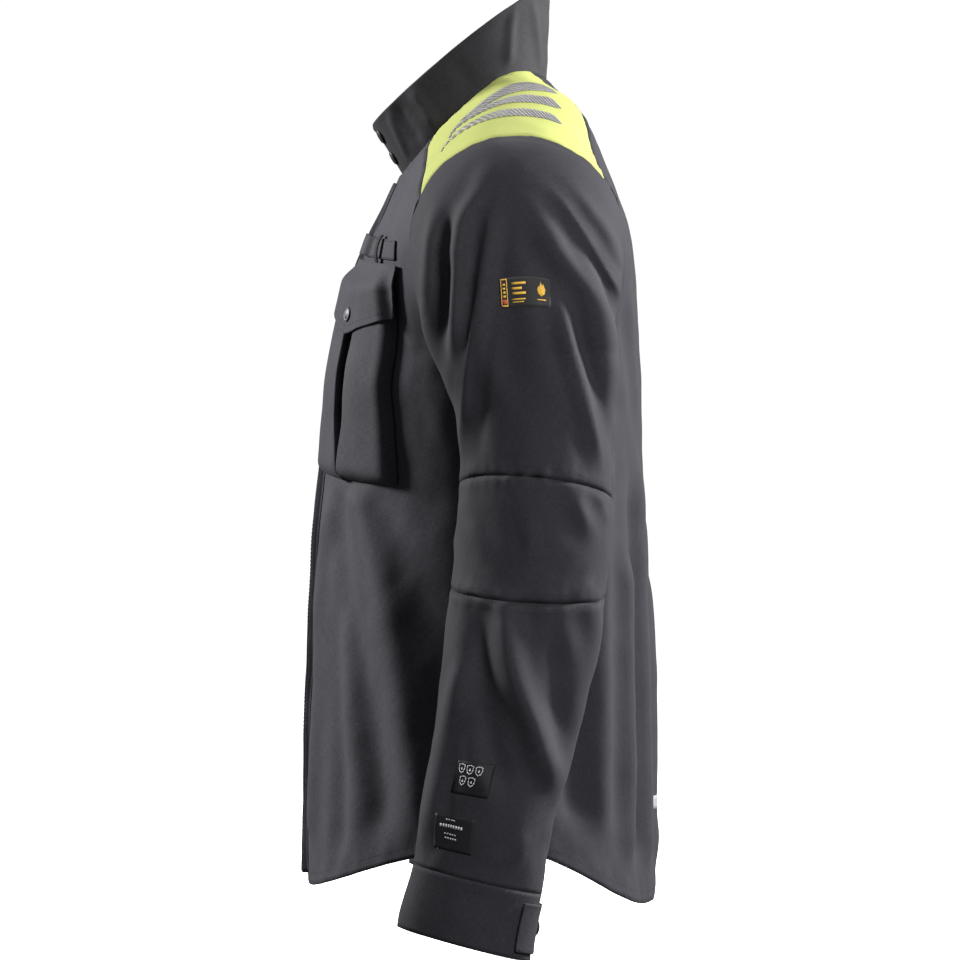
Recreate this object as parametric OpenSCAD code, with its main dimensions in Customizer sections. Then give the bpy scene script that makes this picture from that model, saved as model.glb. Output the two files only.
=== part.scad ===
// Flame-resistant work coat on an invisible torso: press-stud front band, stand collar, two flap pockets,
// high-visibility shoulder yokes, sleeves with elbow panels and press-stud cuffs.
// Millimetres. Origin: the hang loop's seat on the centre-back neck seam.
// +X is the wearer's left, +Y the back, +Z up.

/* [Body] */
// Half width of the body at the armhole seam
body_half = 215; // [205:1:225]
// Thickness of the sewn cloth shells
cloth = 1.6; // [1.2:0.1:1.6]
// Height of the hem at the centre back, below the neck seam
back_length = 734; // [715:1:750]
// Height of the hem at the centre front, below the neck seam
front_length = 722; // [705:1:735]
// Height of the hem at the side seam, below the neck seam
side_length = 676; // [660:1:700]

/* [Armhole and sleeve] */
// Radius of the armhole seam
armhole_r = 91.5; // [90:0.5:93]
// Height of the middle of the armhole
armhole_z = -160; // [-162:1:-158]
// Place of the middle of the armhole from back to front
armhole_y = -27; // [-29:1:-25]

/* [Collar] */
// Half width of the neck seam
neck_half = 78; // [74:1:82]
// How far the collar's right end is tucked in behind its left end
collar_lap = 6.5; // [6:0.5:7]

/* [Front] */
// Half width of the front band
band_half = 22; // [20:1:24]
// Gap between the front band and the right front
band_gap = 4.4; // [4.2:0.1:5]
// Number of press studs under the front band
band_studs = 5; // [4:1:6]

/* [Pockets] */
// Edge of the pocket nearest the centre front
pocket_x0 = 50; // [48:1:56]
// Edge of the pocket nearest the arm
pocket_x1 = 176; // [168:1:178]
// Depth of the room inside the pocket
pocket_room = 10; // [9:0.5:11]

/* [Press studs] */
// Diameter of a press stud's cap
stud_d = 12.5; // [12:0.5:14]

/* [Hidden] */

charcoal = "#34343b";
navy = "#4c4c57";
lime = "#e4f06a";
silver = "#a9a59c";
black = "#18181b";
gunmetal = "#55565c";
ease = 0.3; // gap that keeps neighbouring cloth pieces apart
eps = 0.004; // step for slopes

// ---------- curves ----------

function lerp(a, b, t) = a + (b - a) * t;
function clamp01(t) = min(1, max(0, t));
function soft(t) = let (k = clamp01(t)) k * k * (3 - 2 * k);
function unit(v) = v / norm(v);

// A smooth curve through [key, value] pairs that rise in key.
function slope_at(p, i) =
    i == 0 ? (p[1][1] - p[0][1]) / (p[1][0] - p[0][0]) :
    i == len(p) - 1 ? (p[i][1] - p[i - 1][1]) / (p[i][0] - p[i - 1][0]) :
    (p[i + 1][1] - p[i - 1][1]) / (p[i + 1][0] - p[i - 1][0]);
function span_of(p, k, i = 0) = (i >= len(p) - 2 || k < p[i + 1][0]) ? i : span_of(p, k, i + 1);
function through(p, k) =
    let (
        key = min(p[len(p) - 1][0], max(p[0][0], k)),
        i = span_of(p, key),
        w = p[i + 1][0] - p[i][0],
        t = (key - p[i][0]) / w
    )
    (2 * t ^ 3 - 3 * t ^ 2 + 1) * p[i][1] + (t ^ 3 - 2 * t ^ 2 + t) * w * slope_at(p, i)
    + (3 * t ^ 2 - 2 * t ^ 3) * p[i + 1][1] + (t ^ 3 - t ^ 2) * w * slope_at(p, i + 1);

// ---------- body surface ----------
// A point of the body is found from u, 0 at the centre line and 1 at the side,
// and v, 0 at the hem and 1 at the top.

front_line = [[-722, -213.5], [-596, -211], [-470, -206], [-362, -198.5], [-254, -186.5], [-182, -169.5],
              [-110, -139], [-86, -127], [-50, -104], [0, -70]];
back_line = [[-734, 99], [-560, 95], [-434, 90], [-272, 86], [-182, 81], [-128, 73],
             [-81, 55], [-38, 38], [-9, 11], [0, 2], [20, -4]];
neck_drop = [[-128, -86], [-90, -48], [-64, -23], [-42, -5], [-20, 2], [0, 0]];
armhole_low = armhole_z - armhole_r;
armhole_high = armhole_z + armhole_r;

function armhole_half(z) = abs(z - armhole_z) >= armhole_r ? 0 : sqrt(armhole_r ^ 2 - (z - armhole_z) ^ 2);
// The armhole's half width, eased out above and below the armhole.
function spread(z) =
    let (d = abs(z - armhole_z) / armhole_r)
    d < 0.6 ? armhole_half(z) : 0.8 * armhole_r * clamp01(1 - (d - 0.6) * 15 / 32) ^ 2;
function side_y(z) = z > armhole_low ? armhole_y : armhole_y + 0.03 * (z - armhole_low);
function fullness(z) = lerp(0.5, 1, soft((z + 290) / 110));
function neck_point(f) =
    let (y = neck_half * 0.82 * (cos(f) - 1)) [neck_half * sin(f), y, through(neck_drop, y)];

yoke_front = 122; // neck angle where the yoke's front edge starts
yoke_back = 36; // neck angle where the yoke's back edge starts
corner_front_z = -121; // where the yoke's front edge meets the armhole
corner_back_z = -110;
v_arm = 0.62; // the share of v below the armhole

// The height of the panel's top edge at a distance x from the centre line.
function top_z(x, front) =
    let (
        f = front ? 180 - asin(min(1, x / neck_half)) : asin(min(1, x / neck_half)),
        stop = front ? yoke_front : yoke_back,
        near = neck_point(stop),
        t = (x - near.x) / (body_half - near.x)
    )
    x <= near.x ? neck_point(f).z
    : lerp(near.z, front ? corner_front_z : corner_back_z, t) + (front ? 10 : -6) * sin(180 * t);

function hem_z(u, front) =
    front ? -lerp(front_length, side_length, soft(abs(u) * 1.15 - 0.1))
    : -lerp(back_length, side_length, soft(abs(u) * 1.3 - 0.3));

function mid_v_z(u, v, front) =
    let (
        centre_top = front ? -86 : 0,
        corner = front ? corner_front_z : corner_back_z,
        turn = acos((armhole_z - corner) / armhole_r),
        a = clamp01((v - v_arm) / (1 - v_arm)),
        centre = v < v_arm ? lerp(hem_z(u, front), armhole_low, v / v_arm) : lerp(armhole_low, centre_top, a),
        side = v < v_arm ? centre : armhole_z - armhole_r * cos(turn * a)
    )
    lerp(centre, side, u * u);

function body_z(u, v, front) =
    let (gap = top_z(body_half * abs(sin(90 * u)), front) - mid_v_z(u, 1, front),
         a = clamp01((v - v_arm) / (1 - v_arm)))
    mid_v_z(u, v, front) + gap * a * a;

function bare_y(u, z, front) =
    let (
        h = lerp(spread(z), armhole_half(z), abs(u) ^ 8),
        side = side_y(z) + (front ? -h : h),
        centre = through(front ? front_line : back_line, z),
        bulge = pow(max(0, cos(90 * u)), 2 * fullness(z))
    )
    lerp(side, centre, bulge);

function top_shift(u, front) =
    let (
        x = body_half * abs(sin(90 * u)),
        stop = neck_point(front ? yoke_front : yoke_back),
        f = front ? 180 - asin(min(1, x / neck_half)) : asin(min(1, x / neck_half)),
        last = asin(stop.x / body_half) / 90
    )
    x <= stop.x ? neck_point(f).y - bare_y(u, top_z(x, front), front)
    : (stop.y - bare_y(last, stop.z, front)) * (1 - soft((x - stop.x) / 60));

function body_uz(u, z, front) =
    let (rise = soft((z - top_z(body_half * abs(sin(90 * u)), front) + 70) / 70))
    [body_half * sin(90 * u), bare_y(u, z, front) + top_shift(u, front) * rise, z];

function body_point(u, v, front) = body_uz(u, body_z(u, v, front), front);

// The outward normal at u and height z.
function body_normal(u, z, front) =
    let (
        k = min(0.98, max(-0.98, u)),
        along = body_uz(k + eps, z, front) - body_uz(k - eps, z, front),
        up = body_uz(k, z + 1, front) - body_uz(k, z - 1, front),
        n = unit(cross(along, up))
    )
    front ? n : -n;

function body_off(u, z, off, front) = body_uz(u, z, front) + off * body_normal(u, z, front);
function u_of(x) = asin(x / body_half) / 90;

// ---------- shells ----------

// A closed shell between two grids of points of the same size, outer facing the way rows cross columns.
module shell(outer, inner) {
    rows = len(outer);
    cols = len(outer[0]);
    count = rows * cols;
    points = concat([for (r = outer) each r], [for (r = inner) each r]);
    function at(i, j, s) = s * count + i * cols + j;
    faces = concat(
        [for (i = [0:rows - 2], j = [0:cols - 2]) each [
            [at(i, j, 0), at(i + 1, j, 0), at(i + 1, j + 1, 0)],
            [at(i, j, 0), at(i + 1, j + 1, 0), at(i, j + 1, 0)],
            [at(i, j, 1), at(i + 1, j + 1, 1), at(i + 1, j, 1)],
            [at(i, j, 1), at(i, j + 1, 1), at(i + 1, j + 1, 1)]]],
        [for (i = [0:rows - 2]) each [
            [at(i, 0, 0), at(i, 0, 1), at(i + 1, 0, 1)],
            [at(i, 0, 0), at(i + 1, 0, 1), at(i + 1, 0, 0)],
            [at(i, cols - 1, 0), at(i + 1, cols - 1, 1), at(i, cols - 1, 1)],
            [at(i, cols - 1, 0), at(i + 1, cols - 1, 0), at(i + 1, cols - 1, 1)]]],
        [for (j = [0:cols - 2]) each [
            [at(0, j, 0), at(0, j + 1, 1), at(0, j, 1)],
            [at(0, j, 0), at(0, j + 1, 0), at(0, j + 1, 1)],
            [at(rows - 1, j, 0), at(rows - 1, j, 1), at(rows - 1, j + 1, 1)],
            [at(rows - 1, j, 0), at(rows - 1, j + 1, 1), at(rows - 1, j + 1, 0)]]]
    );
    polyhedron(points, faces);
}

// A tube from rings of points: every ring is closed, and the two ends are open.
module ring_shell(outer, inner) {
    rows = len(outer);
    cols = len(outer[0]);
    count = rows * cols;
    points = concat([for (r = outer) each r], [for (r = inner) each r]);
    function at(i, j, s) = s * count + i * cols + j % cols;
    faces = concat(
        [for (i = [0:rows - 2], j = [0:cols - 1]) each [
            [at(i, j, 0), at(i + 1, j, 0), at(i + 1, j + 1, 0)],
            [at(i, j, 0), at(i + 1, j + 1, 0), at(i, j + 1, 0)],
            [at(i, j, 1), at(i + 1, j + 1, 1), at(i + 1, j, 1)],
            [at(i, j, 1), at(i, j + 1, 1), at(i + 1, j + 1, 1)]]],
        [for (j = [0:cols - 1]) each [
            [at(0, j, 0), at(0, j + 1, 1), at(0, j, 1)],
            [at(0, j, 0), at(0, j + 1, 0), at(0, j + 1, 1)],
            [at(rows - 1, j, 0), at(rows - 1, j, 1), at(rows - 1, j + 1, 1)],
            [at(rows - 1, j, 0), at(rows - 1, j + 1, 1), at(rows - 1, j + 1, 0)]]]
    );
    polyhedron(points, faces);
}

module left_or_right(side) {
    if (side > 0) children();
    else mirror([1, 0, 0]) children();
}

function steps(a, b, n) = [for (i = [0:n]) lerp(a, b, i / n)];

// ---------- body panels ----------

panel_rows = steps(0, 1, 20);

module body_panel(us, front) {
    outer = [for (v = panel_rows) [for (u = us) body_point(u, v, front)]];
    inner = [for (v = panel_rows) [for (u = us)
        let (z = body_z(u, v, front)) body_off(u, z, -cloth, front)]];
    if (front) shell(outer, inner);
    else shell([for (r = outer) [for (i = [len(r) - 1:-1:0]) r[i]]],
               [for (r = inner) [for (i = [len(r) - 1:-1:0]) r[i]]]);
}

side_u = 0.997; // the panels stop just short of the side seam

module back_panel() {
    color(charcoal) body_panel(steps(-side_u, side_u, 26), false);
}

module left_front_panel() {
    color(navy) body_panel(steps(u_of(band_half + 1.5), side_u, 13), true);
}

module right_front_panel() {
    color(navy) mirror([1, 0, 0]) body_panel(steps(-u_of(band_half - 3), side_u, 14), true);
}

// The shoulder yoke spans the four seams round it: s runs from the neck to the armhole, w from front to back.
function yoke_edge(s, front) =
    let (
        near = neck_point(front ? yoke_front : yoke_back),
        x = lerp(near.x, body_half, s)
    )
    body_uz(u_of(min(x, body_half - 0.01)), top_z(x, front), front);
function armhole_point(a) = [body_half, armhole_y + armhole_r * sin(a), armhole_z + armhole_r * cos(a)];
function yoke_point(s, w) =
    let (
        a0 = -acos((corner_front_z - armhole_z) / armhole_r),
        a1 = acos((corner_back_z - armhole_z) / armhole_r),
        f0 = yoke_edge(s, true), f1 = yoke_edge(s, false),
        n = neck_point(lerp(yoke_front, yoke_back, w)), m = armhole_point(lerp(a0, a1, w)),
        c00 = yoke_edge(0, true),
        c01 = yoke_edge(0, false),
        c10 = yoke_edge(1, true),
        c11 = yoke_edge(1, false)
    )
    (1 - w) * f0 + w * f1 + (1 - s) * n + s * m
    - ((1 - s) * (1 - w) * c00 + (1 - s) * w * c01 + s * (1 - w) * c10 + s * w * c11);
function yoke_normal(s, w) =
    let (e = 0.01, a = min(0.99, max(0.01, s)), b = min(0.99, max(0.01, w)))
    unit(cross(yoke_point(a + e, b) - yoke_point(a - e, b), yoke_point(a, b + e) - yoke_point(a, b - e)));
function yoke_off(s, w, off) = yoke_point(s, w) + off * yoke_normal(s, w);

module yoke_patch(s0, s1, w0, w1, n, m, low, high) {
    shell([for (w = steps(w0, w1, m)) [for (s = steps(s0, s1, n)) yoke_off(s, w, high)]],
          [for (w = steps(w0, w1, m)) [for (s = steps(s0, s1, n)) yoke_off(s, w, low)]]);
}

module shoulder_yoke(side) {
    color(lime) left_or_right(side) yoke_patch(0.012, 0.996, 0.008, 0.992, 8, 14, -cloth, 0);
}

reflector_starts = [[0.5, 0.24], [0.66, 0.18], [0.76, 0.13]]; // each row's front end, in s and w
reflector_ends = [0.21, 0.39, 0.61]; // s at each row's back end
reflector_stop = 0.87; // w at the back ends
reflector_half = 8;
yoke_reach = [145, 170]; // the yoke's size along s and w

// The middle of a reflective row, from its front end at t = 0 to its back end at t = 1.
function reflector_at(i, t) =
    [
        lerp(reflector_ends[i], reflector_starts[i].x, (1 - t) ^ 3),
        lerp(reflector_starts[i].y, reflector_stop, t ^ 1.6)
    ];
function reflector_side(i, t) =
    let (
        d = reflector_at(i, min(1, t + 0.02)) - reflector_at(i, max(0, t - 0.02)),
        k = unit([d.x * yoke_reach.x, d.y * yoke_reach.y, 0])
    )
    [-k.y / yoke_reach.x, k.x / yoke_reach.y] * reflector_half * lerp(0.2, 1, soft(t * 2.5));
function reflector_row(i, off) =
    [for (t = steps(0, 1, 16)) [for (k = [1, 0, -1])
        let (p = reflector_at(i, t) + k * reflector_side(i, t)) yoke_off(p.x, p.y, off)]];

// Three curved rows of heat-applied reflective film.
module reflectors(side) {
    color(silver) left_or_right(side)
        for (i = [0:len(reflector_ends) - 1])
            shell(reflector_row(i, 1.8), reflector_row(i, 1.4));
}

// ---------- collar ----------

collar_top = [[-154, -43], [-80, 19], [-30, 58], [-12, 69], [3, 68]];

// f is the angle round the neck, 0 at the back and 180 at the front, h the share of the height.
function collar_point(f, h) =
    let (
        low = neck_point(f),
        y = -75.5 + 78.5 * cos(f),
        high = [76 * sin(f), y, through(collar_top, y)]
    )
    lerp(low, high, h) + [0, 0, 1.5];
function collar_normal(f, h) =
    let (
        a = collar_point(f + 2, h) - collar_point(f - 2, h),
        b = collar_point(f, h + 0.1) - collar_point(f, h - 0.1)
    )
    unit(cross(b, a));
function collar_lift(f) = -collar_lap * soft((-f - 148) / 26);
function collar_off(f, h, off) = collar_point(f, h) + (off + collar_lift(f)) * collar_normal(f, h);

collar_end = 190; // both ends pass the centre front by ten degrees
collar_angles = steps(-collar_end, collar_end, 40);
collar_heights = [0, 0.25, 0.5, 0.75, 1];

module collar_layer(low, high) {
    shell([for (h = collar_heights) [for (f = collar_angles) collar_off(-f, h, high)]],
          [for (h = collar_heights) [for (f = collar_angles) collar_off(-f, h, low)]]);
}

module outer_collar() {
    color(black) collar_layer(0.05, 1.5);
}

module inner_collar() {
    color(charcoal) collar_layer(-1.5, -0.05);
}

// Twill tape over the neck seam, inside the collar.
module neck_tape() {
    color(black)
        shell([for (h = [0.04, 0.24]) [for (f = steps(60, -60, 16)) collar_off(f, h, -1.8)]],
              [for (h = [0.04, 0.24]) [for (f = steps(60, -60, 16)) collar_off(f, h, -2.6)]]);
}

loop_half = 28; // half the distance between the hang loop's sewn ends
loop_drop = 24; // how far the loop hangs below its seat
loop_width = 7;
loop_y = -8.2; // the back of the webbing, just in front of the neck tape

module loop_ends(r) {
    hull()
        for (s = [-1, 1])
            translate([s * loop_half / 2, loop_half / 2 - loop_drop]) circle(r, $fn = 48);
}

// A webbing loop that hangs from its two sewn ends.
module hang_loop() {
    color(black) translate([0, loop_y, 0]) rotate([90, 0, 0])
        linear_extrude(1.4) difference() {
            union() {
                translate([-loop_half, loop_half / 2 - loop_drop])
                    square([2 * loop_half, loop_drop - loop_half / 2]);
                loop_ends(loop_half / 2);
            }
            hull() {
                loop_ends(loop_half / 2 - loop_width);
                translate([-loop_half + loop_width, 0]) square([2 * (loop_half - loop_width), 1]);
            }
        }
}

// ---------- press studs ----------

module facing(p, n) {
    translate(p) rotate([0, acos(n.z), atan2(n.y, n.x)]) children();
}

// A domed cap: a flat rim with a lower crown on it.
module stud_cap() {
    cylinder(h = 1.2, d = stud_d, $fn = 48);
    translate([0, 0, 1.2]) cylinder(h = 0.8, d1 = stud_d, d2 = stud_d - 4, $fn = 48);
}

module stud_socket() {
    difference() {
        cylinder(h = 1.3, d = 12, $fn = 48);
        translate([0, 0, -0.5]) cylinder(h = 2.3, d = 5, $fn = 48);
    }
}

module stud_post() {
    cylinder(h = 0.8, d = 12, $fn = 48);
    cylinder(h = 1.4, d = 4.6, $fn = 48);
}

collar_stud_h = [0.28, 0.72];
collar_stud_f = 172;

module collar_stud_caps() {
    color(gunmetal)
        for (h = collar_stud_h) {
            n = collar_normal(collar_stud_f, h);
            facing(collar_off(collar_stud_f, h, 1.95), n) stud_cap();
        }
}

module collar_stud_posts() {
    color(gunmetal)
        for (h = collar_stud_h) {
            n = collar_normal(-360 + collar_stud_f, h);
            facing(collar_off(-360 + collar_stud_f, h, 1.7), n) stud_post();
        }
}

// ---------- front band ----------

band_split = -262; // the fixed top part ends here and the hinged part starts
band_low = band_gap;
band_high = band_gap + cloth;

module band_strip(z0, z1, n) {
    zs = steps(z0, z1, n);
    us = [for (x = steps(-band_half, band_half, 5)) u_of(x)];
    shell([for (z = zs) [for (u = us) body_off(u, z, band_high, true)]],
          [for (z = zs) [for (u = us) body_off(u, z, band_low, true)]]);
}

module front_band_top() {
    color(navy) band_strip(band_split + 1, -97, 8);
}

module front_band() {
    color(navy) band_strip(-front_length + 9, band_split, 18);
}

stud_zs = steps(-front_length + 70, band_split - 40, band_studs - 1);

module front_band_stud_sockets() {
    color(gunmetal)
        for (z = stud_zs) {
            n = body_normal(0, z, true);
            facing(body_off(0, z, band_low - 1.5, true), n) stud_socket();
        }
}

module front_stud_posts() {
    color(gunmetal)
        for (z = stud_zs) {
            n = body_normal(0, z, true);
            facing(body_off(0, z, 0.5, true), n) stud_post();
        }
}

// ---------- pockets ----------

pocket_top = -170;
pocket_bottom = -356;
pocket_tilt = 11; // how much lower the pocket is at the arm side
flap_drop = 46; // the flap's length at its corners
flap_point = 60; // and at its middle
flap_low = pocket_room + 3.9;
pocket_gap = 0.8; // how far the pouch's edges lie off the chest
pocket_mid = (pocket_x0 + pocket_x1) / 2;

function across(x) = (x - pocket_x0) / (pocket_x1 - pocket_x0);
function pocket_z(x, z) = z - pocket_tilt * across(x);
function chest(x, z, off) = body_off(u_of(x), pocket_z(x, z), off, true);

// The pouch stands off the chest by the pocket's room, and meets it at both sides and the bottom.
module pocket(side) {
    xs = [pocket_x0, pocket_x0 + 1, pocket_x0 + 8, each steps(pocket_x0 + 16, pocket_x1 - 16, 6),
          pocket_x1 - 8, pocket_x1 - 1, pocket_x1];
    zs = [pocket_bottom, pocket_bottom + 1, pocket_bottom + 8,
          each steps(pocket_bottom + 20, pocket_top - 18, 8)];
    function edge(x, z) = min(1, (x - pocket_x0) / 8, (pocket_x1 - x) / 8, (z - pocket_bottom) / 8);
    function rise(x, z) = pocket_room * sin(90 * clamp01(edge(x, z)));
    color(navy) left_or_right(side)
        shell([for (z = zs) [for (x = xs) chest(x, z, pocket_gap + cloth + rise(x, z))]],
              [for (z = zs) [for (x = xs) chest(x, z, pocket_gap + rise(x, z))]]);
}

flap_rows = [1, 0.8, 0.6, 0.45, 0.3, 0.2, 0.1, 0]; // from the tip up

function flap_z(x, t) =
    let (point = 1 - abs(x - pocket_mid) / ((pocket_x1 - pocket_x0) / 2 + 3))
    pocket_top + 4 - t * lerp(flap_drop, flap_point + 6, point);
function flap_off(t) = lerp(2.6, flap_low, soft(t * 3.2));

module pocket_flap(side) {
    xs = steps(pocket_x0 - 3, pocket_x1 + 3, 10);
    color(navy) left_or_right(side)
        shell([for (t = flap_rows) [for (x = xs) chest(x, flap_z(x, t), flap_off(t) + cloth)]],
              [for (t = flap_rows) [for (x = xs) chest(x, flap_z(x, t), flap_off(t))]]);
}

flap_stud_z = pocket_top - 44;

module flap_stud_cap(side) {
    n = body_normal(u_of(pocket_mid), pocket_z(pocket_mid, flap_stud_z), true);
    color(gunmetal) left_or_right(side)
        facing(chest(pocket_mid, flap_stud_z, flap_low + cloth + 0.35), n) stud_cap();
}

module pocket_stud_post(side) {
    n = body_normal(u_of(pocket_mid), pocket_z(pocket_mid, flap_stud_z), true);
    color(gunmetal) left_or_right(side)
        facing(chest(pocket_mid, flap_stud_z, pocket_room + cloth + pocket_gap + 0.35), n)
            cylinder(h = 0.8, d = 12, $fn = 48);
}

loop_x0 = 54;
loop_x1 = 168;
loop_open = 103; // the strap stands off the chest up to here
loop_rise = 10.4;

// A strap sewn to the chest above the pocket, with its front end standing off as a loop for a clip.
module chest_loop(side) {
    xs = [loop_x0, loop_x0 + 7, loop_x0 + 14, each steps(loop_x0 + 20, loop_open - 13, 2),
          loop_open - 7, loop_open, each steps(loop_open + 13, loop_x1, 4)];
    function rise(x) = loop_rise * sin(90 * clamp01(min((x - loop_x0 - 7) / 8, (loop_open - x) / 8)));
    color(navy) left_or_right(side)
        shell([for (z = [-158, -150, -142]) [for (x = xs) chest(x, z, pocket_gap + 1.2 + rise(x))]],
              [for (z = [-158, -150, -142]) [for (x = xs) chest(x, z, pocket_gap + rise(x))]]);
}

// ---------- small pieces on the body ----------

// Blank care label in the left side seam.
module care_label() {
    color("white")
        shell([for (z = [-560, -520]) [for (u = steps(0.86, 0.80, 2)) body_off(u, z, -2.1, false)]],
              [for (z = [-560, -520]) [for (u = steps(0.86, 0.80, 2)) body_off(u, z, -2.9, false)]]);
}

// Reflective film across the lower back.
module back_reflector() {
    color(silver)
        shell([for (z = [-655, -643]) [for (u = steps(0.16, -0.16, 6)) body_off(u, z, 0.8, false)]],
              [for (z = [-655, -643]) [for (u = steps(0.16, -0.16, 6)) body_off(u, z, 0.3, false)]]);
}

// ---------- sleeves ----------

seam_x = body_half + 3; // the plane where the sleeve cloth starts
under_z = armhole_low - 3.5;

head_reach = [[0, 186.5], [7, 181], [16, 170], [29, 152], [44, 135], [64, 120], [90, 114]];
head_half = [[0, 91.5], [20, 90], [45, 86], [70, 80], [90, 75]];
head_mid = [[0, -27], [45, -27], [90, -23]];

// Along the tube, against the height of the section's middle.
arm_y = [[-760, -73], [-733, -70], [-695, -61], [-640, -53], [-578, -38], [-503, -26], [-462, -20],
         [-420, -14], [-378, -12], [-337, -12], [-295, -14], [-255, -23]];
arm_ry = [[-760, 55], [-695, 54], [-640, 55], [-578, 59], [-503, 63], [-420, 65], [-337, 63.5],
          [-295, 68], [-255, 75]];
arm_x = [[-760, 291], [-578, 288], [-420, 281], [-337, 278], [-255, 277]];
arm_rx = [[-760, 30], [-695, 34], [-578, 46], [-420, 52], [-337, 54], [-255, 55]];
arm_tilt = [[-760, 0.27], [-695, 0.24], [-578, 0.1], [-462, 0]];

// A ring of the sleeve head: a is 0 in the armhole's plane and 90 across the arm;
// b runs round it, 0 on the outside and 90 at the back.
function head_point(a, b) =
    let (
        reach = through(head_reach, a), near = 3.5,
        mid = (reach + near) / 2, half = (reach - near) / 2, r = mid + half * cos(b)
    )
    [seam_x + sin(a) * r, through(head_mid, a) + through(head_half, a) * sin(b), under_z + cos(a) * r];

function tube_point(z, b) =
    let (y = through(arm_ry, z) * sin(b))
    [through(arm_x, z) + through(arm_rx, z) * cos(b), through(arm_y, z) + y, z - through(arm_tilt, z) * y];

// s runs from -90, at the armhole, through 0, at the underarm level, and on down the arm in millimetres.
function arm_point(s, b) = s <= 0 ? head_point(90 + s, b) : tube_point(under_z - s, b);
function arm_normal(s, b) =
    let (
        e = 1,
        at = max(-89, s),
        along = arm_point(at + e, b) - arm_point(at - e, b),
        turn = arm_point(at, b + 2) - arm_point(at, b - 2)
    )
    unit(cross(along, turn));
function arm_off(s, b, off) = arm_point(s, b) + off * arm_normal(s, b);

ring_angles = [for (i = [0:23]) 15 * i];

function upper_seam(b) = -(-371 + 12 * cos(b) - 6.6 * sin(b)) + under_z;
function lower_seam(b) = -(-455 - 7.5 * cos(b) - 4 * sin(b)) + under_z;
cuff_seam = 693 + under_z;
cuff_end = 747 + under_z;

// Cloth between two heights that may change round the arm.
module arm_tube(first, last, n, side, low = -cloth, high = 0) {
    left_or_right(side)
        ring_shell(
            [for (i = [n:-1:0]) [for (b = ring_angles) arm_off(lerp(first(b), last(b), i / n), b, high)]],
            [for (i = [n:-1:0]) [for (b = ring_angles) arm_off(lerp(first(b), last(b), i / n), b, low)]]);
}

// A strip of cloth round part of the arm.
module arm_patch(s0, s1, b0, b1, n, m, low, high) {
    shell([for (s = steps(s1, s0, n)) [for (b = steps(b0, b1, m)) arm_off(s, b, high)]],
          [for (s = steps(s1, s0, n)) [for (b = steps(b0, b1, m)) arm_off(s, b, low)]]);
}

module armhole_binding(side) {
    color(black) left_or_right(side)
        translate([body_half + 0.5, armhole_y, armhole_z]) rotate([0, 90, 0])
            difference() {
                cylinder(h = 2, r = armhole_r, $fn = 96);
                translate([0, 0, -1]) cylinder(h = 4, r = armhole_r - 2.5, $fn = 96);
            }
}

module upper_sleeve(side) {
    color(charcoal) left_or_right(side) {
        head = [for (s = [-90, -83, -74, -61, -46, -26, 0]) s];
        body = steps(0.15, 1, 4);
        rows = [for (s = head) [for (b = ring_angles) s]];
        tube = [for (k = body) [for (b = ring_angles) (upper_seam(b) - ease) * k]];
        all = concat(rows, tube);
        ring_shell(
            [for (i = [len(all) - 1:-1:0]) [for (j = [0:23]) arm_off(all[i][j], ring_angles[j], 0)]],
            [for (i = [len(all) - 1:-1:0]) [for (j = [0:23]) arm_off(all[i][j], ring_angles[j], -cloth)]]);
    }
}

module elbow_panel(side) {
    color(charcoal) arm_tube(function(b) upper_seam(b) + ease, function(b) lower_seam(b) - ease, 4, side);
}

module lower_sleeve(side) {
    color(charcoal) arm_tube(function(b) lower_seam(b) + ease, function(b) cuff_seam - ease, 7, side);
}

cuff_gap0 = 84; // the slit in the cuff, by angle round the wrist
cuff_gap1 = 100;

module cuff(side) {
    color(charcoal) left_or_right(side)
        arm_patch(cuff_seam + ease, cuff_end, cuff_gap1, 360 + cuff_gap0, 3, 22, -cloth, 0);
}

tab_b0 = 48;
tab_b1 = 122;
tab_s0 = cuff_seam + 8;
tab_s1 = cuff_end - 6;
tab_low = 1.9;
cuff_stud_b = 104;

module cuff_tab(side) {
    color(charcoal) left_or_right(side)
        arm_patch(tab_s0, tab_s1, tab_b0, tab_b1, 2, 6, tab_low, tab_low + cloth);
}

module cuff_stud_cap(side) {
    s = (tab_s0 + tab_s1) / 2;
    color(gunmetal) left_or_right(side)
        facing(arm_off(s, cuff_stud_b, tab_low + cloth + 0.45), arm_normal(s, cuff_stud_b)) stud_cap();
}

module cuff_stud_post(side) {
    s = (tab_s0 + tab_s1) / 2;
    color(gunmetal) left_or_right(side)
        facing(arm_off(s, cuff_stud_b, 0.45), arm_normal(s, cuff_stud_b)) cylinder(h = 0.6, d = 10, $fn = 48);
}

// Woven badge with a flame on the left upper arm, and two heat-applied prints on the left forearm.
module arm_badge() {
    color(black) arm_patch(-30, -18, -12, 18, 3, 4, 0.2, 0.8);
}

module upper_sleeve_print() {
    color(black) arm_patch(341, 369, -37, -3, 2, 6, 0.2, 0.7);
}

module lower_sleeve_print() {
    color(black) arm_patch(388, 418, -47, -9, 2, 6, 0.2, 0.7);
}

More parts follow.
